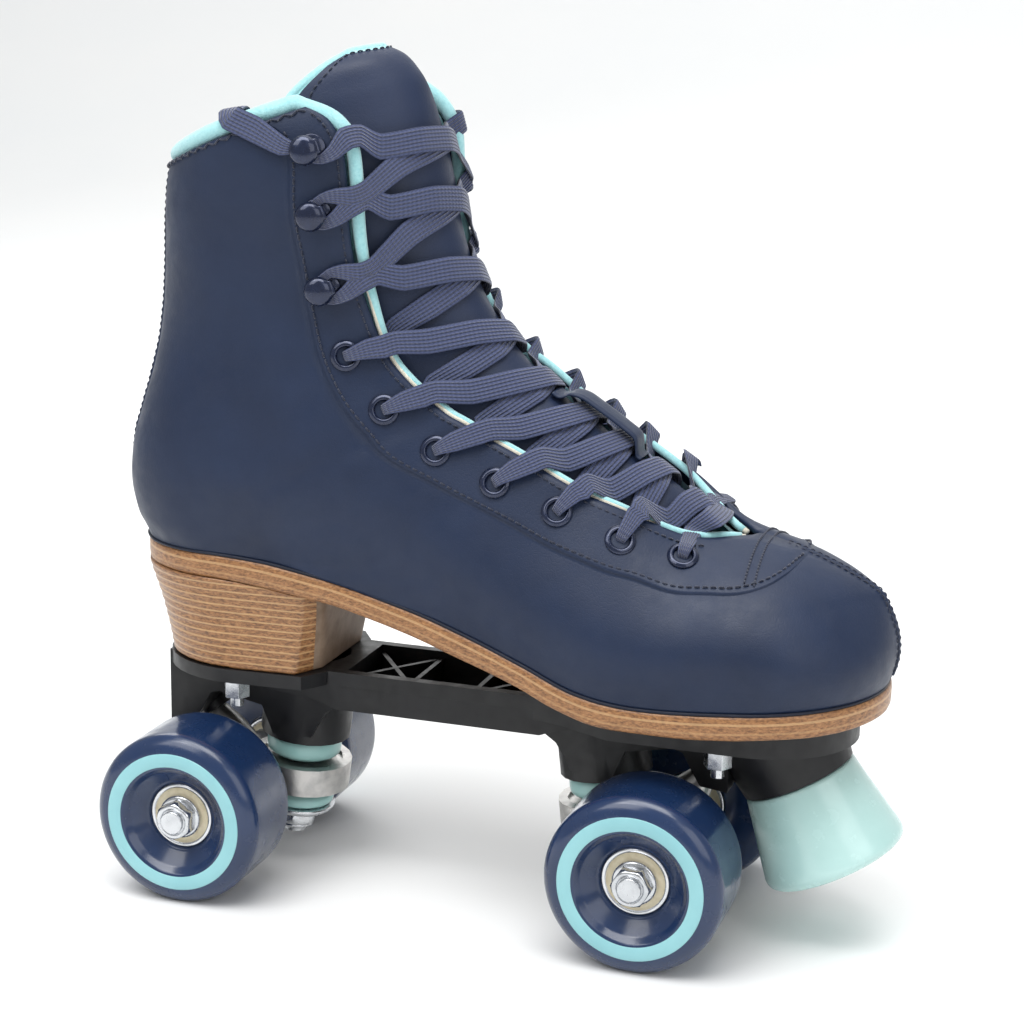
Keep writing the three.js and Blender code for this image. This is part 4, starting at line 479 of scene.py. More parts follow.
# the inner skin takes the darker fleece copy, which is painted shade
lin = ln.out("boot_lining_fleece", [AQUA, INSIDE_SHADED_FLEECE]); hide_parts("boot_lining"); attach(lin, "boot")
fo = Bag()
for s in (-1, 1):
    path = []
    for i in range(80):
        k = 4.5 + 17.8 * i / 79; T = catmull(top(s), k); B = catmull(BASE, k); u = unit([T[0] - B[0], 0, T[1] - B[1]]); path.append(V(skin(s, k, 1, -1.9), u, -.35))
    tube(fo, path, 1.0, seg=8)
foo = fo.out("facing_foam_edge", FOAM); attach(foo, "boot")

# ------------------------------------------------------------------ tongue, its fleece border and the leather keeper
def tongue_mesh():
    K0, K1 = -2.0, 20.6; NK, NT = 130, 44; th = 4.6
    bag = Bag(); rows = []
    for i in range(NK + 1):
        k = K0 + (K1 - K0) * i / NK; th = 4.6 - 1.4 * sstep(0, 6, k)
        if i == 0: th = 2.2
        o, n = [], []
        for j in range(NT + 1):
            t = -1 + 2 * j / NT; e = 1 - abs(t); puff = .55 * math.sin(pi * min(1, (t + 1) / 2)) + .25 * math.sin(k * 2.4 + t * 2) * (1 - sstep(8, 14, k))
            puff *= sstep(-2, -1.2, k); rnd_e = -1.6 * (1 - min(1, e * 16)) ** 2
            o.append(tongueSkin(k, t, -.05 + puff * .25 + rnd_e * .8)); n.append(tongueSkin(k, t, -th - rnd_e * .8))
        rows.append(o + n[::-1])
    v, f = grid(rows, close=True, cap0=True, cap1=True); m = 2 * (NT + 1); mi = []
    for i in range(NK):
        k = K0 + (K1 - K0) * (i + .5) / NK
        for j in range(m):
            inner = j > NT; t = -1 + 2 * (j + .5) / NT if j < NT else (1 if j == NT else -1)
            edge = (not inner) and k < 1.6 and (k < -1.72 + .1 * (1 + math.sin(t * 3)) or t > .86 - .10 * sstep(1.4, -1.8, -k) or t < -.9)
            mi.append(1 if (inner or j in (NT, m - 1) or edge) else 0)
    bag.add(v, f, mi + [1, 1]); return bag.out("tongue_leather", [TONGUE_L, AQUA])
tg = tongue_mesh(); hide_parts("tongue"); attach(tg, "boot")
tb = Bag()
edge = [tongueSkin(k, -.955, -1.0) for k in [1.6 - 3.5 * i / 24 for i in range(25)]] + [tongueSkin(-1.94, -.955 + 1.91 * i / 40, -1.2) for i in range(1, 40)] + [tongueSkin(k, .955, -1.0) for k in [-1.9 + 3.5 * i / 24 for i in range(25)]]
tube(tb, edge, 1.55, seg=12); tbo = tb.out("tongue_fleece_edge", AQUA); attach(tbo, "boot")
sb = Bag()
for off, kk in ((.84, -1.66),):
    pth = [(tongueSkin(k, -off, .3), unit(V(tongueSkin(k, -off, 1), tongueSkin(k, -off, 0), -1))) for k in [2.4 - 4.0 * i / 30 for i in range(31)]]
    pth += [(tongueSkin(kk, -off + 2 * off * i / 30, .3), unit(V(tongueSkin(kk, -off + 2 * off * i / 30, 1), tongueSkin(kk, -off + 2 * off * i / 30, 0), -1))) for i in range(1, 30)]
    pth += [(tongueSkin(k, off, .3), unit(V(tongueSkin(k, off, 1), tongueSkin(k, off, 0), -1))) for k in [-1.6 + 4.0 * i / 30 for i in range(31)]]
    stitches(sb, [(V(a, b, -.22), b) for a, b in pth], 2.5, 1.7, .26)
sbo = sb.out("tongue_stitching", THREAD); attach(sbo, "boot")
kb = Bag(); rows = []
KP = [[13.1, .45, 5], [13.5, .5, 5], [13.75, 1.8, 4.95], [13.95, 3.8, 4.9], [14.5, 5.3, 4.8], [15.2, 5.55, 4.75], [15.9, 5.6, 4.7], [16.6, 5.5, 4.7], [17.2, 5.2, 4.7], [17.45, 3.4, 4.75], [17.6, 1.6, 4.8], [17.72, .55, 4.8], [17.9, .45, 4.8]]
for i in range((len(KP) - 1) * 4 + 1):
    k, h, w = catmull(KP, i / 4); loop = []
    for t, hh in [(-1, .1), (-.6, 0), (0, .15), (.6, 0), (1, .1), (1.03, .6), (1, 1.05), (.6, 1.3), (0, 1.4), (-.6, 1.3), (-1, 1.05), (-1.03, .6)]:
        p = tongueSkin(k, 0, h + hh); loop.append([p[0], p[1] + t * w, p[2]])
    rows.append(loop)
v, f = grid(rows, close=True, cap0=True, cap1=True); kb.add(v, f); kbo = kb.out("lace_keeper_leather", NAVY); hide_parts("lace_keeper"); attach(kbo, "boot")

# ------------------------------------------------------------------ lace: points, face direction, width in mm
WAY=[[[-49.72,-23.74,222.4],[-0.123,0.99,0.069],8.2],[[-50.87,-25.25,243.39],[-0.151,0.988,-0.023],8.2],[[-61,-25.88,252.16],[-0.11,0.971,-0.212],8.2],[[-64.36,-26.85,257.68],[-0.219,0.827,0.518],8.2],[[-64.04,-31.16,259.02],[-0.177,0,0.984],8.2],[[-63.57,-34.1,258.55],[-0.06,-0.571,0.819],8.2],[[-62.99,-36.06,256.72],[0.11,-0.971,0.212],8.2],[[-55.25,-35.75,253.5],[0.11,-0.971,0.212],8.2],[[-45.51,-35.82,248.55],[0.303,-0.946,0.117],6],[[-40.85,-35.06,247.77],[0.303,-0.946,0.117],3.2],[[-37.59,-34.23,245.48],[0.303,-0.946,0.117],2.9],[[-33.91,-33.04,244.85],[0.303,-0.946,0.117],3.1],[[-30.07,-31.64,247.17],[0.303,-0.946,0.117],5],[[-26.96,-29.68,251.29],[0.328,-0.928,0.177],7.4],[[-24.07,-24.68,251.98],[0.821,-0.459,0.339],7.4],[[-19.16,-20.2,248.5],[0.473,-0.872,0.129],8.2],[[-8.84,-10.35,250.37],[0.769,-0.604,0.208],8.2],[[-4.12,0.46,250.23],[0.958,-0.085,0.273],8.2],[[-4.85,9.65,248.05],[0.918,0.302,0.256],8.2],[[-7.44,18.12,244.32],[0.759,0.618,0.203],8.2],[[-5.14,23.56,237.91],[0.824,0.515,0.237],7],[[-7.98,28.57,236.28],[0.212,0.977,-0.009],7],[[-12.91,29.7,236.85],[0.296,0.955,-0.024],5],[[-17.24,30.71,236.22],[0.296,0.955,-0.024],3.1],[[-20.13,31.46,233.5],[0.296,0.955,-0.024],2.9],[[-19.73,31.22,228.52],[0.296,0.955,-0.024],2.9],[[-16.57,30.3,227.86],[0.296,0.955,-0.024],3.1],[[-12.36,29.37,230.08],[0.296,0.955,-0.024],5],[[-7.78,28.45,234.1],[0.262,0.964,-0.037],7.4],[[-4.91,23.43,235.73],[0.838,0.5,0.219],7.4],[[-7.76,19.78,231.43],[0.677,0.727,0.116],8.2],[[-3.48,11.41,232.4],[0.896,0.415,0.159],8.2],[[-1.24,3.14,230.96],[0.984,0.051,0.172],8.2],[[-3.37,-6.73,227.47],[0.834,-0.537,0.128],8.2],[[-10.85,-16.28,221.32],[0.537,-0.843,0.041],8.2],[[-19.37,-23.48,211.26],[0.84,-0.488,0.237],7],[[-22.43,-28.52,209.58],[0.297,-0.955,-0.015],7],[[-27.46,-30.21,210.09],[0.285,-0.959,-0.004],5],[[-31.8,-31.35,209.41],[0.285,-0.959,-0.004],3.1],[[-34.53,-32.2,206.67],[0.285,-0.959,-0.004],2.9],[[-33.78,-31.95,201.73],[0.285,-0.959,-0.004],2.9],[[-30.54,-30.94,201.11],[0.285,-0.959,-0.004],3.1],[[-26.44,-29.88,203.37],[0.285,-0.959,-0.004],5],[[-21.94,-28.34,207.48],[0.296,-0.955,-0.009],7.4],[[-18.88,-23.3,209.13],[0.84,-0.488,0.239],7.4],[[-11.73,-18.93,207.68],[0.412,-0.909,0.062],8.2],[[0.36,-9.73,209.97],[0.685,-0.696,0.217],8.2],[[6.41,0.5,209.37],[0.912,-0.11,0.394],8.2],[[6.14,9.63,206.47],[0.854,0.341,0.392],8.2],[[2.61,16.84,202.17],[0.679,0.675,0.288],8.2],[[-1.74,20.69,197.75],[0.482,0.86,0.168],6.8],[[2.24,18.06,196.4],[-0.143,-0.99,0],6.8],[[-5.04,19.28,193.88],[-0.281,-0.956,-0.078],5.8],[[-8.03,20.23,192.66],0,4.2],[[-9.55,22.29,191.88],0,3.3],[[-8.11,26.55,192.3],0,3.5],[[-5.75,27.24,193.15],[0.281,0.956,0.078],4.4],[[-1.62,26.34,194.6],[0.281,0.956,0.078],6.4],[[3.03,25.82,195.56],[0.159,0.987,0.001],7.4],[[6.6,22.57,197],[0.803,0.53,0.271],7.4],[[6.09,18.45,191.99],[0.555,0.781,0.286],8.2],[[12.29,10.51,191.32],[0.733,0.468,0.494],8.2],[[16.31,3.01,189.26],[0.795,0.058,0.604],8.2],[[15.32,-6,185.78],[0.616,-0.603,0.507],8.2],[[7.73,-13.63,180.04],[0.348,-0.874,0.339],8.2],[[-1.79,-18.26,174.1],[0.202,-0.953,0.227],6.8],[[-3.47,-19.25,171.01],[-0.173,0.965,-0.196],6.8],[[-11.32,-21.58,167.59],[-0.257,0.938,-0.233],5.8],[[-14.14,-22.78,166.4],0,4.2],[[-15.62,-24.88,165.94],0,3.3],[[-14.29,-29.04,167.07],0,3.5],[[-12.05,-29.57,168.2],[0.257,-0.938,0.233],4.4],[[-7.84,-28.21,170.05],[0.257,-0.938,0.233],6.4],[[-2.22,-26.91,171.99],[0.184,-0.962,0.202],7.4],[[1.09,-23.61,173.05],[0.77,-0.496,0.4],7.4],[[11.15,-17.95,172.86],[0.277,-0.904,0.326],8.2],[[24.12,-9.23,175.89],[0.519,-0.675,0.525],8.2],[[30.49,0.58,176.43],[0.679,-0.098,0.728],8.2],[[30.98,8.26,174.64],[0.632,0.272,0.726],8.2],[[28.8,14.23,172.21],[0.521,0.554,0.649],8.2],[[26.17,17.54,169.39],[0.407,0.799,0.442],6.8],[[30.84,17.91,170.11],[-0.129,-0.98,-0.152],6.8],[[22.55,19.54,165.7],[-0.004,-0.99,-0.138],5.8],[[19.99,19.99,164.39],0,4.2],[[18.24,21.61,163.7],0,3.3],[[18.44,26.05,164.41],0,3.5],[[20.41,27.17,165.57],[0.004,0.99,0.138],4.4],[[24.67,26.85,167.66],[0.004,0.99,0.138],6.4],[[32.44,25.52,170.89],[0.115,0.982,0.152],7.4],[[35.51,22.19,172.22],[0.741,0.523,0.422],7.4],[[34.66,15.71,166.69],[0.461,0.693,0.553],8.2],[[40.25,9,165.81],[0.535,0.358,0.765],8.2],[[43.74,2.83,164.89],[0.548,0.042,0.835],8.2],[[43.31,-5.59,162.81],[0.476,-0.471,0.743],8.2],[[38.07,-13.05,158.29],[0.322,-0.793,0.517],8.2],[[31.67,-17.57,153.1],[0.207,-0.92,0.333],6.8],[[32.76,-19.78,151.57],[-0.167,0.904,-0.393],6.8],[[26.53,-22.63,147.46],[-0.083,0.93,-0.357],5.8],[[24.14,-23.72,145.92],0,4.2],[[22.65,-25.68,145.38],0,3.3],[[23.18,-29.81,147.1],0,3.5],[[25.06,-30.4,148.72],[0.083,-0.93,0.357],4.4],[[29.12,-28.96,151.37],[0.083,-0.93,0.357],6.4],[[34.66,-26.9,154.22],[0.161,-0.905,0.393],7.4],[[37.48,-23.65,155.19],[0.67,-0.45,0.59],7.4],[[42.83,-17.15,153.43],[0.278,-0.854,0.44],8.2],[[52.2,-8.58,157.15],[0.445,-0.571,0.69],8.2],[[56.95,0.69,158.33],[0.538,-0.077,0.84],8.2],[[57.49,7.54,156.79],[0.517,0.31,0.797],8.2],[[55.84,12.79,153.72],[0.445,0.643,0.623],8.2],[[53.63,15.48,150.4],[0.346,0.85,0.398],6.8],[[56.18,16.99,153.29],[-0.311,-0.85,-0.425],6.8],[[53.91,19.36,150.39],[-0.206,-0.891,-0.404],5.8],[[52.21,21.1,148.26],0,4.2],[[51.33,23.4,147.4],0,3.3],[[52.38,27.32,149.35],0,3.5],[[53.93,27.47,151.35],[0.206,0.891,0.404],4.4],[[57.4,24.71,155.1],[0.206,0.891,0.404],6.4],[[59.19,23.63,156.12],[0.306,0.851,0.428],7.4],[[60.75,20.36,157.87],[0.576,0.399,0.713],7.4],[[61.26,13.85,149.1],[0.404,0.749,0.525],8.2],[[65.56,7.95,149.48],[0.501,0.423,0.755],8.2],[[68.54,2.7,149.04],[0.539,0.052,0.841],8.2],[[69.12,-4.82,146.71],[0.498,-0.444,0.745],8.2],[[67.34,-11.24,141.36],[0.411,-0.778,0.475],8.2],[[65.17,-14.74,135.29],[0.345,-0.909,0.235],6.8],[[64.57,-17.52,136.62],[-0.451,0.715,-0.534],6.8],[[63.72,-20.36,133.71],[-0.347,0.748,-0.566],5.8],[[62.91,-23.15,130.97],0,4.2],[[62.83,-25.95,129.98],0,3.3],[[64.45,-29.18,132.67],0,3.5],[[65.51,-28.7,134.93],[0.347,-0.748,0.566],4.4],[[67.73,-24,139.69],[0.347,-0.748,0.566],6.4],[[68.92,-23.05,140.11],[0.445,-0.71,0.547],7.4],[[68.88,-19.94,142.22],[0.43,-0.319,0.845],7.4],[[74.8,-12.98,135.76],[0.461,-0.84,0.285],8.2],[[79.66,-5.92,140.15],[0.557,-0.586,0.588],8.2],[[82.71,1.05,141.46],[0.591,-0.086,0.802],8.2],[[83.82,5.33,139.29],[0.594,0.499,0.631],8.2],[[84.03,6.95,135.26],[0.54,0.811,0.225],8.2],[[84.19,6.68,131.72],[0.455,0.889,0.041],6.8],[[83.47,11.08,135.29],[-0.589,-0.413,-0.695],6.8],[[83.5,12.08,134.89],[-0.453,-0.548,-0.703],5.8],[[83.53,16.77,132.09],0,4.2],[[84.08,20.22,131.25],0,3.3],[[86.14,22.52,134.52],0,3.5],[[86.97,21.41,136.63],[0.453,0.548,0.703],4.4],[[84.94,7.7,139.1],[0.453,0.548,0.703],6.4],[[88.2,6.5,136.96],[0.503,0,0.865],8.2],[[88.66,-0.82,136.97],[0.503,0,0.865],8.2],[[87.94,-8.14,136.51],[0.503,0,0.865],8.2],[[82.59,-8.89,132.65],[0.187,-0.572,0.798],6.4],[[83.61,-23.07,130.76],[0.187,-0.572,0.798],4.4],[[83.17,-24.16,128.52],0,3.5],[[82.31,-21.76,124.82],0,3.3],[[82.15,-18.21,125.43],0,4.2],[[82.22,-13.37,128.01],[-0.187,0.572,-0.798],5.8],[[82.3,-12.29,128.36],[-0.296,0.437,-0.849],6.8],[[82,-7.24,127.13],[0.48,-0.873,0.081],6.8],[[82.31,-6,132.54],[0.551,-0.795,0.254],8.2],[[82.61,-2.61,137.71],[0.59,-0.519,0.618],8.2],[[81.71,2.46,140.11],[0.591,0.074,0.803],8.2],[[79.45,6.15,140.44],[0.577,0.504,0.643],8.2],[[76.68,10.93,139.72],[0.491,0.787,0.373],8.2],[[74.39,17.18,150.78],[0.449,0.321,0.834],7.4],[[74.36,20.29,148.69],[0.448,0.714,0.539],7.4],[[73.2,21.2,148.3],[0.34,0.763,0.55],6.4],[[70.81,25.84,143.6],[0.34,0.763,0.55],4.4],[[69.7,26.27,141.35],0,3.5],[[68.11,22.97,138.74],0,3.3],[[68.22,20.22,139.73],0,4.2],[[69.08,17.53,142.42],[-0.34,-0.763,-0.55],5.8],[[69.98,14.74,145.26],[-0.454,-0.717,-0.528],6.8],[[69.06,12.98,141.45],[0.383,0.865,0.325],6.8],[[69.88,11.13,145.13],[0.468,0.677,0.568],8.2],[[70.43,6.85,148.65],[0.527,0.336,0.781],8.2],[[69.44,0.78,150.45],[0.538,-0.074,0.84],8.2],[[65.21,-7.97,149.22],[0.441,-0.563,0.699],8.2],[[57.67,-16.27,144.78],[0.288,-0.854,0.433],8.2],[[52.45,-23.12,148.29],[0.553,-0.402,0.73],7.4],[[50.69,-26.39,146.62],[0.256,-0.853,0.455],7.4],[[48.79,-27.39,145.63],[0.182,-0.877,0.444],6.4],[[45.39,-30.09,141.9],[0.182,-0.877,0.444],4.4],[[43.88,-29.98,139.86],0,3.5],[[42.95,-26.12,137.73],0,3.3],[[43.88,-23.79,138.55],0,4.2],[[45.64,-22,140.72],[-0.182,0.877,-0.444],5.8],[[47.99,-19.65,143.64],[-0.263,0.854,-0.448],6.8],[[47.32,-17.07,143.79],[0.244,-0.925,0.293],6.8],[[52.02,-12.75,149.73],[0.35,-0.793,0.498],8.2],[[55.89,-5.46,154.81],[0.48,-0.459,0.747],8.2],[[56.05,2.8,156.92],[0.539,0.048,0.841],8.2],[[53.03,8.74,157.35],[0.513,0.396,0.762],8.2],[[48.18,15.16,157.3],[0.417,0.722,0.552],8.2],[[49.25,21.61,163.63],[0.686,0.455,0.568],7.4],[[46.63,24.9,162.51],[0.199,0.917,0.345],7.4],[[41.16,27.07,159.61],[0.07,0.956,0.284],6.4],[[37.03,28.36,156.9],[0.07,0.956,0.284],4.4],[[35.16,27.65,155.35],0,3.5],[[34.69,23.39,153.96],0,3.3],[[36.16,21.51,154.59],0,4.2],[[38.45,20.55,156.11],[-0.07,-0.956,-0.284],5.8],[[44.44,17.77,160.17],[-0.208,-0.914,-0.349],6.8],[[40.43,16.53,159.12],[0.341,0.817,0.466],6.8],[[43.21,13.39,162.1],[0.452,0.599,0.661],8.2],[[45.23,7.73,164.78],[0.528,0.28,0.802],8.2],[[44.64,0.66,166.29],[0.547,-0.08,0.833],8.2],[[38.87,-8.76,165.53],[0.44,-0.59,0.677],8.2],[[27.37,-17.43,162.5],[0.266,-0.864,0.427],8.2],[[20.12,-23.62,162.65],[0.726,-0.498,0.475],7.4],[[16.84,-26.89,161.8],[0.102,-0.953,0.285],7.4],[[9.13,-28.55,158.6],[0.112,-0.951,0.288],6.4],[[5,-29.42,156.59],[0.112,-0.951,0.288],4.4],[[2.92,-28.66,155.28],0,3.5],[[2.24,-24.43,153.9],0,3.3],[[3.93,-22.53,154.36],0,4.2],[[6.68,-21.68,155.64],[-0.112,0.951,-0.288],5.8],[[15.53,-19.41,159.93],[-0.109,0.953,-0.283],6.8],[[14.73,-17.93,162.56],[0.199,-0.93,0.31],6.8],[[22.13,-13.38,167.91],[0.323,-0.822,0.469],8.2],[[28.56,-5.84,172.64],[0.547,-0.535,0.644],8.2],[[29.37,2.93,175.21],[0.682,0.044,0.73],8.2],[[25.91,9.82,176.57],[0.652,0.39,0.65],8.2],[[20.14,16.99,177.55],[0.456,0.696,0.554],8.2],[[20.6,23.09,181.65],[0.75,0.567,0.34],7.4],[[16.98,26.33,180.04],[0.015,1,0.027],7.4],[[11.17,26.4,178],[0.063,0.996,0.064],6.4],[[7.07,26.5,176.28],[0.063,0.996,0.064],4.4],[[4.97,25.32,175.32],0,3.5],[[4.5,20.85,174.95],0,3.3],[[6.34,19.21,175.71],0,4.2],[[9.18,18.86,176.99],[-0.063,-0.996,-0.064],5.8],[[16.54,18.54,180.42],[-0.022,-1,-0.01],6.8],[[11.74,18.65,180.03],[0.368,0.847,0.384],6.8],[[15.27,15.25,183.57],[0.54,0.679,0.497],8.2],[[18.09,8.87,187.4],[0.727,0.362,0.584],8.2],[[17.62,0.52,190.26],[0.791,-0.114,0.601],8.2],[[10.32,-9.41,190.71],[0.559,-0.726,0.401],8.2],[[-3.45,-18.07,188.01],[0.307,-0.929,0.204],8.2],[[-12.47,-23.55,187.72],[0.822,-0.478,0.31],7.4],[[-15.53,-26.87,186.76],[0.285,-0.949,0.136],7.4],[[-20.27,-28.3,185.79],[0.316,-0.94,0.13],6.4],[[-24.72,-29.88,184.19],[0.316,-0.94,0.13],4.4],[[-27.08,-29.41,183.33],0,3.5],[[-28.68,-25.25,182.69],0,3.3],[[-27.29,-23.12,183.15],0,4.2],[[-24.49,-21.84,184.13],[-0.316,0.94,-0.13],5.8],[[-17.55,-19.3,186.56],[-0.281,0.952,-0.124],6.8],[[-14.82,-18.24,191.34],[0.257,-0.963,0.082],6.8],[[-4.76,-13.72,198.49],[0.436,-0.888,0.144],8.2],[[3.28,-6.12,205.05],[0.73,-0.608,0.312],8.2],[[4.9,3.13,208.72],[0.916,0.053,0.397],8.2],[[1.8,11.43,210.88],[0.846,0.433,0.312],8.2],[[-3.61,19.91,211.66],[0.619,0.753,0.224],8.2],[[-1.91,22.12,215.13],[0.838,0.491,0.236],7.4],[[-5.07,27.17,213.51],[0.287,0.958,-0.016],7.4],[[-9.27,28.86,209.16],[0.227,0.974,0.003],5],[[-13.41,29.47,206.89],[0.227,0.974,0.003],3.1],[[-16.83,30.16,207.47],[0.227,0.974,0.003],2.9],[[-17.9,30.4,212.35],[0.227,0.974,0.003],2.9],[[-15.2,29.88,215.08],[0.227,0.974,0.003],3.1],[[-10.71,29.19,215.8],[0.227,0.974,0.003],5],[[-5.5,27.3,214.84],[0.292,0.956,-0.017],7],[[-2.36,22.25,216.44],[0.841,0.49,0.231],7],[[-3.67,18.29,223.13],[0.741,0.658,0.13],8.2],[[-0.5,9.77,228.05],[0.931,0.329,0.16],8.2],[[0.39,0.45,231.25],[0.981,-0.093,0.171],8.2],[[-4.76,-10.38,232.06],[0.762,-0.638,0.115],8.2],[[-15.86,-20.2,229.72],[0.464,-0.885,0.044],8.2],[[-21.63,-24.76,232.81],[0.837,-0.484,0.256],7.4],[[-24.64,-29.81,231.21],[0.307,-0.952,0],7.4],[[-29.29,-31.41,226.85],[0.291,-0.956,-0.04],5],[[-33.47,-32.46,224.51],[0.291,-0.956,-0.04],3.1],[[-36.46,-33.46,225.1],[0.291,-0.956,-0.04],2.9],[[-36.53,-33.68,230.09],[0.291,-0.956,-0.04],2.9],[[-33.59,-32.84,232.9],[0.291,-0.956,-0.04],3.1],[[-29.38,-31.71,233.65],[0.291,-0.956,-0.04],5],[[-24.66,-29.79,233.35],[0.314,-0.949,0.007],7],[[-21.68,-24.74,234.91],[0.838,-0.482,0.257],7],[[-14.36,-16.72,242.74],[0.56,-0.82,0.118],8.2],[[-7.6,-6.85,247.36],[0.839,-0.499,0.218],8.2],[[-5.71,3.12,249.77],[0.96,0.047,0.274],8.2],[[-7.76,11.19,250.51],[0.879,0.392,0.27],8.2],[[-11.71,19.29,249.92],[0.649,0.716,0.256],8.2],[[-7.39,23.47,254.03],[0.803,0.51,0.308],7.4],[[-11.52,28.49,253.28],[0.18,0.974,0.134],7.4],[[-14.13,28.94,249.38],[0.36,0.929,0.087],5],[[-18.07,30.39,247.22],[0.36,0.929,0.087],3.1],[[-21.66,31.64,248.01],[0.36,0.929,0.087],2.9],[[-24.73,32.56,250.45],[0.36,0.929,0.087],3.2],[[-29.32,33.42,251.46],[0.36,0.929,0.087],6],[[-37.59,35.01,259.06],[0.243,0.916,0.319],8.2],[[-44.37,35.43,263.98],[0.243,0.916,0.319],8.2],[[-45.19,33.56,265.58],[0.018,0.521,0.853],8.2],[[-46.02,30.76,265.72],[-0.177,0,0.984],8.2],[[-46.86,26.65,263.88],[-0.35,-0.821,0.45],8.2],[[-44.13,25.84,257.71],[-0.243,-0.916,-0.319],8.2],[[-36.58,24.73,246.48],[-0.323,-0.946,-0.019],8.2],[[-34.57,23.17,226.05],[-0.275,-0.96,0.049],8.2]]
LACE_W, LACE_T = 8.2, 1.2
def lace_mesh():
    P = [w[0] for w in WAY]; Wd = [w[2] for w in WAY]; S = []; prev = None
    for i, w in enumerate(WAY):
        d = unit(V(P[min(i + 1, len(P) - 1)], P[max(i - 1, 0)], -1)); s = cross(w[1], d) if w[1] else prev
        s = unit(V(s, d, -dot(s, d)))
        if prev and dot(s, prev) < 0: s = neg(s)
        prev = s; S.append(s)
    bag = Bag(); rows, us = [], []; u = 0.0; last = None
    NR = 28
    prof = []
    for j in range(NR + 1):
        a = -1 + 2 * j / NR; rib = .13 * abs(math.sin(a * pi * 3.5)); prof.append((a, .62 * (1 - abs(a) ** 6) ** .5 * (0.78 + rib) if abs(a) < 1 else 0.0))
    for i in range(len(P) - 1):
        L = math.dist(P[i], P[i + 1]); n = max(2, int(L / 1.5))
        for q in range(n):
            t = q / n; p = catmull([P[max(i - 1, 0)], P[i], P[i + 1], P[min(i + 2, len(P) - 1)]], 1 + t); p = mix(p, mix(P[i], P[i + 1], t), .45); w = mix([Wd[i]], [Wd[i + 1]], t)[0]
            s = unit(mix(S[i], S[i + 1], t)); d = unit(V(P[i + 1], P[i], -1)); m = cross(d, s)
            if last is not None: u += math.dist(last, p)
            last = p; k = .62 + .38 * (LACE_W / max(w, 1)) ** .55; ring, uv = [], []
            for a, h in prof: ring.append(V(V(p, s, a * w / 2), m, h * min(k, 1.35))); uv.append((u / 1.5, (a + 1) / 2))
            for a, h in prof[-2:0:-1]: ring.append(V(V(p, s, a * w / 2), m, -h * min(k, 1.35))); uv.append((u / 1.5, (a + 1) / 2))
            rows.append(ring); us.append(uv)
    v, f = grid(rows, close=True, cap0=True, cap1=True); bag.add(v, f, 0, [x for r in us for x in r]); return bag.out("lace_braid", LACE)
lc = lace_mesh(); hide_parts("lace"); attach(lc, "boot")

# ------------------------------------------------------------------ eyelets and hooks
for s, side in ((-1, "right"), (1, "left")):
    eb = Bag()
    for i, q in enumerate(EYES):
        k, f, e = place(s, q); c, n = upper(s, k, f), normalAt(s, k, f); up = 1.1 if (s > 0 and i == 1) else 0
        lathe(eb, [(2.85, -3), (2.8, .3 + up), (2.95, 1.2 + up), (3.3, 1.62 + up), (3.8, 1.68 + up), (4.2, 1.55 + up), (4.35, 1.42 + up), (4.75, 1.28 + up), (4.95, .95 + up), (4.9, .45), (4.6, .3), (3.3, .2), (3.3, -3), (2.85, -3)], c, n, 40)
    eo = eb.out("eyelets_" + side, ENAMEL, weld=.005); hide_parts("eyelet_stay_" + side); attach(eo, "boot")
    for i, q in enumerate(HOOKS):
        hb = Bag(); k, f, e = place(s, q); c, n = upper(s, k, f), normalAt(s, k, f); fwd = unit(V(upper(s, k, min(1, f + .05)), c, -1)); sw = unit(cross(n, fwd))
        lathe(hb, [(.01, .5), (4.3, .5), (4.55, .7), (4.55, 1.1), (4.3, 1.3), (1.4, 1.45), (.01, 1.45)], V(c, fwd, 1.5), n, 36)
        lathe(hb, [(.01, 3.75), (4.1, 3.8), (4.6, 4.1), (4.7, 4.5), (4.5, 5.2), (3.9, 5.9), (2.9, 6.4), (1.5, 6.7), (.01, 6.78)], V(c, fwd, -.6), n, 40)
        rows = []
        for h, a0_, a1_, wd in [(.9, 2.4, 4.4, 2.1), (1.5, 2.6, 4.3, 1.9), (2.6, 2.7, 4.25, 1.8), (3.5, 2.5, 4.3, 1.9), (4.4, 1.6, 4.5, 2.3), (5.1, .8, 4.45, 2.5), (5.5, .4, 3.9, 2.2)]:
            ring = []
            for jj in range(24):
                a = 2 * pi * jj / 24; cx = (abs(math.cos(a)) ** .5) * (1 if math.cos(a) > 0 else -1); cy = (abs(math.sin(a)) ** .5) * (1 if math.sin(a) > 0 else -1)
                ring.append(V(V(V(c, fwd, (a0_ + a1_) / 2 + cx * (a1_ - a0_) / 2), sw, cy * wd), n, h))
            rows.append(ring)
        v, ff = grid(rows, close=True, cap0=True, cap1=True); hb.add(v, ff)
        ho = hb.out(f"hook_{side}_{i + 1}_enamel", ENAMEL, weld=.005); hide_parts(f"hook_{side}_{i + 1}"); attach(ho, "boot")

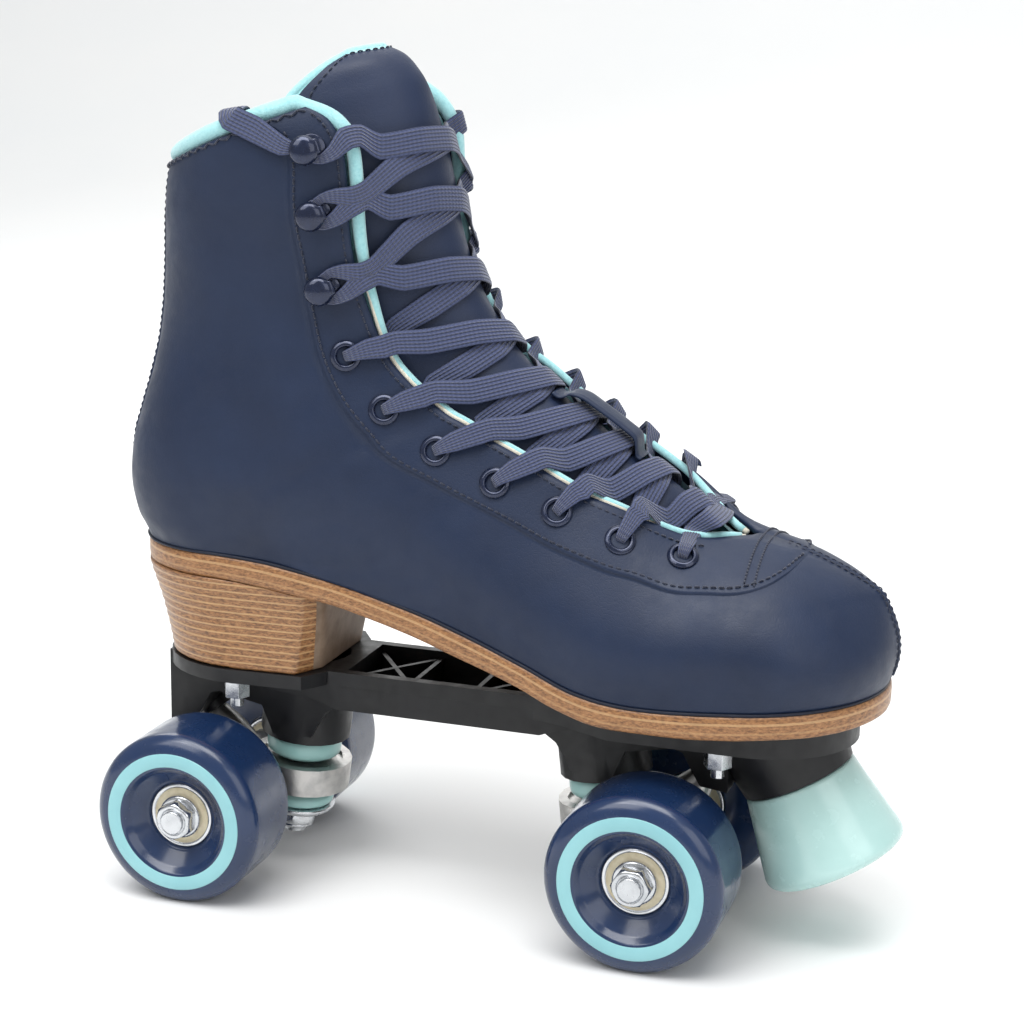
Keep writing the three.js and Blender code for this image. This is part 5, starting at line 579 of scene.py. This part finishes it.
# ------------------------------------------------------------------ sole, heel, insole
def outline(grow, xs):
    out = []
    for x in xs:
        xx = min(max(x, -108.15), 144.45); out.append((x, max(0.0, sole(xx, -1)), max(0.0, sole(xx, 1))))
    return out
def slab_mesh(name, grow, rows_of, mats, n=120):
    a = [pi * i / n for i in range(n + 1)]; x0, x1 = -108.15, 144.45; xs = [x0 + (x1 - x0) * (1 - math.cos(t)) / 2 for t in a]
    right = [[x, -max(0, sole(x, -1))] for x in xs]; left = [[x, max(0, sole(x, 1))] for x in xs][::-1]; pts = right + left[1:-1]
    m = len(pts); nrm = []
    for i in range(m):
        p, q = pts[i - 1], pts[(i + 1) % m]; d = unit([q[0] - p[0], q[1] - p[1], 0]); nrm.append((d[1], -d[0]))
    rows, uv = [], []
    for g, zf, vv in rows_of:
        rows.append([[p[0] + nn[0] * (grow * (1 if grow < 0 else sstep(-104, -60, p[0])) + g), p[1] + nn[1] * (grow * (1 if grow < 0 else sstep(-104, -60, p[0])) + g), zf(p[0])] for p, nn in zip(pts, nrm)]); uv += [(i / m, vv) for i in range(m)]
    v, f = grid(rows, close=True); bag = Bag()
    # the two flat faces, as strips across
    def face(row, flip):
        o = row * m; q = []
        for i in range(len(xs) - 1):
            aL = 0 if i == 0 else (m - i); bL = (m - i - 1) if i + 1 < len(xs) - 1 else len(xs) - 1
            if i == 0: t = [o, o + 1, o + m - 1]
            elif i == len(xs) - 2: t = [o + i, o + i + 1, o + m - i]
            else: t = [o + i, o + i + 1, o + m - i - 1, o + m - i]
            q.append(t[::-1] if flip else t)
        return q
    f += face(0, True) + face(len(rows_of) - 1, False); bag.add(v, f, 0, uv); o = bag.out(name, mats)
    bm = bmesh.new(); bm.from_mesh(o.data); bmesh.ops.recalc_face_normals(bm, faces=bm.faces); bm.to_mesh(o.data); bm.free(); return o
low = lambda x: max(soleBot(x), 75.2)
th = lambda t: (lambda x: low(x) + (soleTop(x) - low(x)) * t)
so = slab_mesh("outsole_board", 1.0, [(-.6, th(0), 0), (-.15, th(.03), .03), (0, th(.12), .12), (.12, th(.3), .3), (.1, th(.5), .5), (.15, th(.65), .65), (.02, th(.86), .86), (-.35, th(.96), .96), (-1.6, th(1.0), 1.0)], SOLE)
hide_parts("outsole"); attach(so, "boot")
wl = Bag()                                     # thin dark welt line between leather and sole
xs_ = [-108.0 + (144.3 + 108.0) * (1 - math.cos(pi * i / 150)) / 2 for i in range(151)]
loop = [[x, -max(.05, sole(x, -1)) - .35, soleTop(x) + .25] for x in xs_] + [[x, max(.05, sole(x, 1)) + .35, soleTop(x) + .25] for x in xs_[::-1]][1:-1]
tube(wl, loop + loop[:2], .55, seg=8); wo = wl.out("sole_welt_line", NAVY_DARK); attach(wo, "boot")
inn = slab_mesh("insole_sheet", -9, [(-.6, lambda x: soleTop(x) + 5.7, 0), (0, lambda x: soleTop(x) + 6.1, .2), (0, lambda x: soleTop(x) + 8.0, .8), (-.8, lambda x: soleTop(x) + 8.4, 1)], GREYB, n=70)
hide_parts("insole"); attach(inn, "boot")
hb = Bag(); HR = [[75.2, -100.3, -40.6, 28.8, 17], [84, -102.0, -39.4, 29.4, 19], [94, -104.6, -37.8, 30.2, 22], [104, -107.9, -36.6, 32, 24.6], [112, -109.6, -35.8, 33, 25.6]]
rows = []; NZ = 60
for i in range(NZ + 1):
    t = i / NZ; q = catmull(HR, t * 4); z = q[0]; _, xb, xf, hf, cr = q; g = -.7 * (1 - min(1, t * NZ / 1.5)) ** 2 + .14 * math.sin(t * NZ * 1.35)
    ring = []
    for j in range(-40, 41):
        a = pi / 2 * j / 40; ring.append([xb + hf * 1.06 * (1 - math.cos(a)) - g * math.cos(a), (hf + g) * math.sin(a), z])
    for (xa, ya), (xc, yc), nn in (((xb + hf * 1.06, hf), (xf - 5.5, hf - 1.5), 10), ((xf - 5.5, hf - 1.5), (xf, cr), 6), ((xf, cr), (xf, -cr), 14), ((xf, -cr), (xf - 5.5, -(hf - 1.5)), 6), ((xf - 5.5, -(hf - 1.5)), (xb + hf * 1.06, -hf), 10)):
        for qn in range(1, nn + 1 if (xa, ya) != (xf - 5.5, -(hf - 1.5)) else nn): ring.append([xa + (xc - xa) * qn / nn, ya + (yc - ya) * qn / nn, z])
    held = rows[-1] if rows else ring          # a point that has met the sole stays where it met it
    rows.append([[x, y, zz] if zz <= soleBot(x) - .3 else [q[0], q[1], soleBot(q[0]) - .3] for (x, y, zz), q in zip(ring, held)])
v, f = grid(rows, close=True, cap0=True, cap1=False); m = len(rows[0]); mi = []
for i in range(NZ):
    for j in range(m):
        p = rows[0][j]; mi.append(1 if 81 + 16 <= j < 81 + 32 - 1 or (81 + 9 < j < 81 + 30) else 0)
hb.add(v, f, mi + [0]); c0 = rows[-1]; cx = sum(p[0] for p in c0) / m
fan = [[cx, 0, soleBot(cx) - .3]] + c0; hb.add(fan, [[0, 1 + (j + 1) % m, 1 + j] for j in range(m)], 0)
ho = hb.out("heel_stack", [HEEL, BREAST], weld=.01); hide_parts("heel_block"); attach(ho, "boot")

# ------------------------------------------------------------------ wheels, bearings, axle nuts
WR, WO, WI, RE = 29.0, 55.25, 22.85, 7.0
def arc(r0, y0, r1, y1, n=10):                 # not used, returns None; the tyre's quarter rounds from (R-RE, y) to (R, y+..) are built inline below
    return None
tyre = [(WR - RE + RE * math.sin(pi / 2 * i / 12), WI + RE * .75 * (1 - math.cos(pi / 2 * i / 12))) for i in range(13)]
tyre += [(WR + .0, WI + 7.5), (WR, WO - 7.5)] + [(WR - RE + RE * math.sin(pi / 2 * i / 12), WO - RE * .75 * (1 - math.cos(pi / 2 * i / 12))) for i in range(12, -1, -1)]
hubp = [(21.7, WO + .0), (19.2, WO), (18.5, WO - .12), (17.9, WO - .6), (16.9, WO - 2.3), (16.2, WO - 2.9), (14.6, WO - 4.1), (12.6, WO - 5.7), (12.0, WO - 6.15), (11.3, WO - 6.3), (11.25, WO - 13.9), (9, WO - 14.2), (9, WI + 8.4), (11.25, WI + 8.2), (11.3, WI + .5), (11.9, WI + .05), (18, WI), (21.9, WI)]
prof = tyre + hubp + [tyre[0]]
def bearing(bag, y0, outward, sgn):
    w = 7.0; a, b = (y0, y0 + w)
    face = b if outward else a; d = 1 if outward else -1
    lathe(bag, [(4.32, a), (11.0, a), (11.0, b), (4.32, b), (4.32, a)] if False else [(4.32, a + .3), (4.6, a), (10.7, a), (11.0, a + .3), (11.0, b - .3), (10.7, b), (9.75, b), (9.6, b - .35), (6.35, b - .35), (6.2, b), (4.6, b), (4.32, b - .3), (4.32, a + .3)], [0, 0, 0], [0, sgn, 0], 56, mi=[0, 0, 0, 0, 0, 0, 0, 1, 0, 0, 0, 0])
for end, ex in (("front", 77.72), ("rear", -77.72)):
    for side, sg in (("right", -1), ("left", 1)):
        tr, wb = f"truck_{end}", f"wheel_{end}_{side}_body"; at = [ex, 0, 29.0]
        b = Bag(); mi = []
        for i in range(len(prof) - 1):
            ra, rb = prof[i][0], prof[i + 1][0]; mi.append(0)
        lathe(b, prof, at, [0, sg, 0], 120, mi=mi)
        lathe(b, [(18.95, WO + .02), (19.1, WO + .1), (23.2, WO - .05 + .1), (23.5, WO - .02), (23.4, WO - .35), (19.0, WO - .3), (18.95, WO + .02)], at, [0, sg, 0], 120, mi=1)
        w = b.out(f"wheel_{end}_{side}_urethane", [WHEEL, PRINT], weld=.004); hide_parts(f"wheel_{end}_{side}"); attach(w, wb)
        for nm, y0, outw in (("outer", WO - 13.6, True), ("inner", WI + .9, False)):
            bb = Bag(); a, c = y0, y0 + 7
            pr = [(4.32, .3), (4.6, 0), (10.7, 0), (11.0, .3), (11.0, 6.7), (10.7, 7), (9.75, 7), (9.6, 6.6), (6.35, 6.6), (6.2, 7), (4.6, 7), (4.32, 6.7), (4.32, .3)]
            if outw: lathe(bb, pr, [ex, sg * y0, 29], [0, sg, 0], 56, mi=[0] * 7 + [1] + [0] * 4)
            else: lathe(bb, pr, [ex, sg * (y0 + 7), 29], [0, -sg, 0], 56, mi=[0] * 7 + [1] + [0] * 4)
            bo = bb.out(f"bearing_{end}_{side}_{nm}_steel", [STEEL, SHIELD], weld=.004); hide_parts(f"bearing_{end}_{side}_{nm}"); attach(bo, wb)
        nb = Bag(); lathe(nb, [(4.2, WO - 6.15), (7.0, WO - 6.15), (7.25, WO - 5.9), (7.2, WO - 5.4), (6.6, WO - 5.05), (5.9, WO - 4.9), (4.2, WO - 4.9), (4.2, WO - 6.15)], at, [0, sg, 0], 48)
        hexnut(nb, 11.5, 5.4, 4.15, [ex, sg * (WO - 5.6), 29], [0, sg, 0], chamf=1.0, turn=.3 + ex * .01)
        lathe(nb, [(3.6, WO - .3), (4.3, WO - .5), (4.35, WO - 1.6), (3.6, WO - 1.6), (3.6, WO - .3)], at, [0, sg, 0], 40)
        no = nb.out(f"axle_nut_{end}_{side}_zinc", ZINC, weld=.004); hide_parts(f"axle_nut_{end}_{side}"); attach(no, tr)

# ------------------------------------------------------------------ cushions, washers, kingpin nuts, toe stop
A0 = [0.1219, 0, -0.9925]; KT = [54.0, 0, 46.5]
for end, m in (("front", 1), ("rear", -1)):
    at = [KT[0] * m, 0, KT[2]]; d = [A0[0] * m, 0, A0[2]]
    def bulged(pr): return pr
    for nm, pr in (("upper", [(4.7, .5), (11.6, .42), (12.3, .8), (12.65, 2.0), (12.8, 3.2), (12.85, 4.6), (12.7, 6.2), (11.9, 7.1), (10.2, 8.1), (9.0, 8.55), (4.7, 8.7), (4.7, .5)]),
                   ("lower", [(4.7, 19.1), (6.3, 19.15), (8.2, 20.0), (10.6, 21.1), (11.9, 21.8), (12.2, 22.5), (12.25, 23.4), (12.0, 24.4), (11.2, 25.05), (4.7, 25.1), (4.7, 19.1)])):
        cb = Bag(); lathe(cb, pr, at, d, 96); co = cb.out(f"cushion_{nm}_{end}_urethane", CUSH, weld=.004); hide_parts(f"cushion_{nm}_{end}"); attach(co, "boot")
    wb_ = Bag(); lathe(wb_, [(4.45, 25.55), (12.6, 25.55), (12.9, 25.8), (12.85, 26.4), (12.3, 27.3), (11.6, 27.85), (6.6, 27.95), (4.45, 27.95), (4.45, 25.55)], at, d, 64)
    wo_ = wb_.out(f"cushion_washer_{end}_zinc", ZINC, weld=.004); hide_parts(f"cushion_washer_{end}"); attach(wo_, "boot")
    kb_ = Bag(); hexnut(kb_, 13, 5.2, 4.3, V(at, d, 28.3), d, chamf=1.1, turn=.26); lathe(kb_, [(4.3, 33.2), (6.3, 33.2), (6.25, 34.3), (5.7, 34.95), (4.7, 35.0), (4.3, 34.8), (4.3, 33.2)], at, d, 48)
    ko_ = kb_.out(f"kingpin_nut_{end}_zinc", ZINC, weld=.004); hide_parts(f"kingpin_nut_{end}"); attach(ko_, "boot")
sb_ = Bag(); SD, SL = unit([0.454, 0, -0.891]), 31.0
lathe(sb_, [(6.3, .4), (17.6, .35), (18.4, .6), (18.8, 1.6), (20.2, 9), (21.8, 17), (23.4, 25), (23.85, 27.2), (23.8, 28.4), (23.3, 29.6), (22.2, 30.5), (20.6, 30.92), (14, 30.98), (.02, 31.0)], [118, 0, 53], SD, 110)
lathe(sb_, [(6.3, .4), (6.3, 12), (.02, 12)], [118, 0, 53], SD, 110)
so_ = sb_.out("toe_stop_urethane", STOP, weld=.01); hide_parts("toe_stop"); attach(so_, "boot")

# ------------------------------------------------------------------ CAD nodes that stay: edges softened, each with its own finish
def keep(name, mat, width=.5, seg=3):
    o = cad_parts[name]; o.data.materials.clear(); o.data.materials.append(mat)
    q = o.modifiers.new("weld", "WELD"); q.merge_threshold = 1e-5
    b = o.modifiers.new("bevel", "BEVEL"); b.width = width * .001; b.segments = seg; b.limit_method = "ANGLE"; b.angle_limit = math.radians(38); b.harden_normals = False
    w = o.modifiers.new("wn", "WEIGHTED_NORMAL"); w.keep_sharp = False
    for p in o.data.polygons: p.use_smooth = True
keep("plate", BLACK, .7)
for e in ("front", "rear"):
    keep("hanger_" + e, CAST, .8); keep("axle_" + e, ZINC, .4); keep("kingpin_" + e, ZINC, .5); keep("pivot_cup_" + e, BLACK, .4)
    for s in ("right", "left"): keep(f"mount_bolt_{e}_{s}", ZINC, .3); keep(f"mount_nut_{e}_{s}", ZINC, .4)
keep("toe_stop_bolt", ZINC, .4)

# ------------------------------------------------------------------ floor, light, camera
scene.view_settings.view_transform = "Standard"
fm = Mat("studio_floor_mat", "eeeeed", .7, 0, **{"Specular IOR Level": .15}); fm.vary("ebecec", 3); fm.bump(fm.noise(300, 3), .01, .0005)
sweep = [(-4.0, 0.0), (1.2, 0.0)] + [(1.2 + 1.6 * math.sin(pi / 2 * i / 24), 1.6 - 1.6 * math.cos(pi / 2 * i / 24)) for i in range(1, 25)] + [(2.8, 5.0)]
fme = bpy.data.meshes.new("floor"); fme.from_pydata([(x, y, z) for y, z in sweep for x in (-6, 6)], [], [[2 * i, 2 * i + 1, 2 * i + 3, 2 * i + 2] for i in range(len(sweep) - 1)])
floor = bpy.data.objects.new("floor", fme); scene.collection.objects.link(floor); fme.materials.append(fm.m)
for p in fme.polygons: p.use_smooth = True
def area(name, loc, aim, size, power, col=(1, 1, 1)):
    l = bpy.data.lights.new(name, "AREA"); l.energy = power; l.size = size; l.color = col; o = bpy.data.objects.new(name, l); scene.collection.objects.link(o)
    o.location = loc; o.rotation_euler = (Vector(aim) - Vector(loc)).to_track_quat("-Z", "Y").to_euler(); return o
L = [area("key", (-.55, -.95, 1.25), (0, 0, .13), .9, 8), area("fill", (1.2, -.85, .8), (0, 0, .12), 1.0, 5), area("top_soft", (.05, .25, 1.7), (0, 0, .1), 1.6, 10.5), area("rim", (-.7, 1.0, 1.0), (0, 0, .15), .8, 5), area("sweep_wash", (0, -.6, 2.9), (0, 3.0, 1.3), 2.2, 78)]
wd = bpy.data.worlds.new("studio_world"); scene.world = wd; wd.use_nodes = True; wd.node_tree.nodes["Background"].inputs[0].default_value = (.93, .95, .97, 1); wd.node_tree.nodes["Background"].inputs[1].default_value = .46
cam = bpy.data.cameras.new("camera"); co = bpy.data.objects.new("camera", cam); scene.collection.objects.link(co); scene.camera = co
ya, pi_, ro_ = math.radians(18.322), math.radians(13.886), math.radians(1.024)
fwd = Vector((-math.sin(ya) * math.cos(pi_), math.cos(ya) * math.cos(pi_), -math.sin(pi_))); right = Vector((math.cos(ya), math.sin(ya), 0)); upv = right.cross(fwd)
r2 = right * math.cos(ro_) + upv * math.sin(ro_); u2 = -right * math.sin(ro_) + upv * math.cos(ro_)
M = Matrix((r2, u2, -fwd)).transposed().to_4x4(); M.translation = Vector((.231052, -.694339, .311231)); co.matrix_world = M
cam.sensor_width = 36; cam.sensor_fit = "HORIZONTAL"; cam.lens = 2308.83 / 1024 * 36; cam.clip_start = .05; cam.clip_end = 40
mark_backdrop(floor, *L)
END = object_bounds()
def plain(b):
    if isinstance(b, dict): return {k: plain(v) for k, v in b.items()}
    if isinstance(b, (list, tuple, Vector)): return [plain(x) for x in b]
    try: return float(b)
    except Exception: return str(b)
{"at_load": plain(START), "at_end": plain(END)}
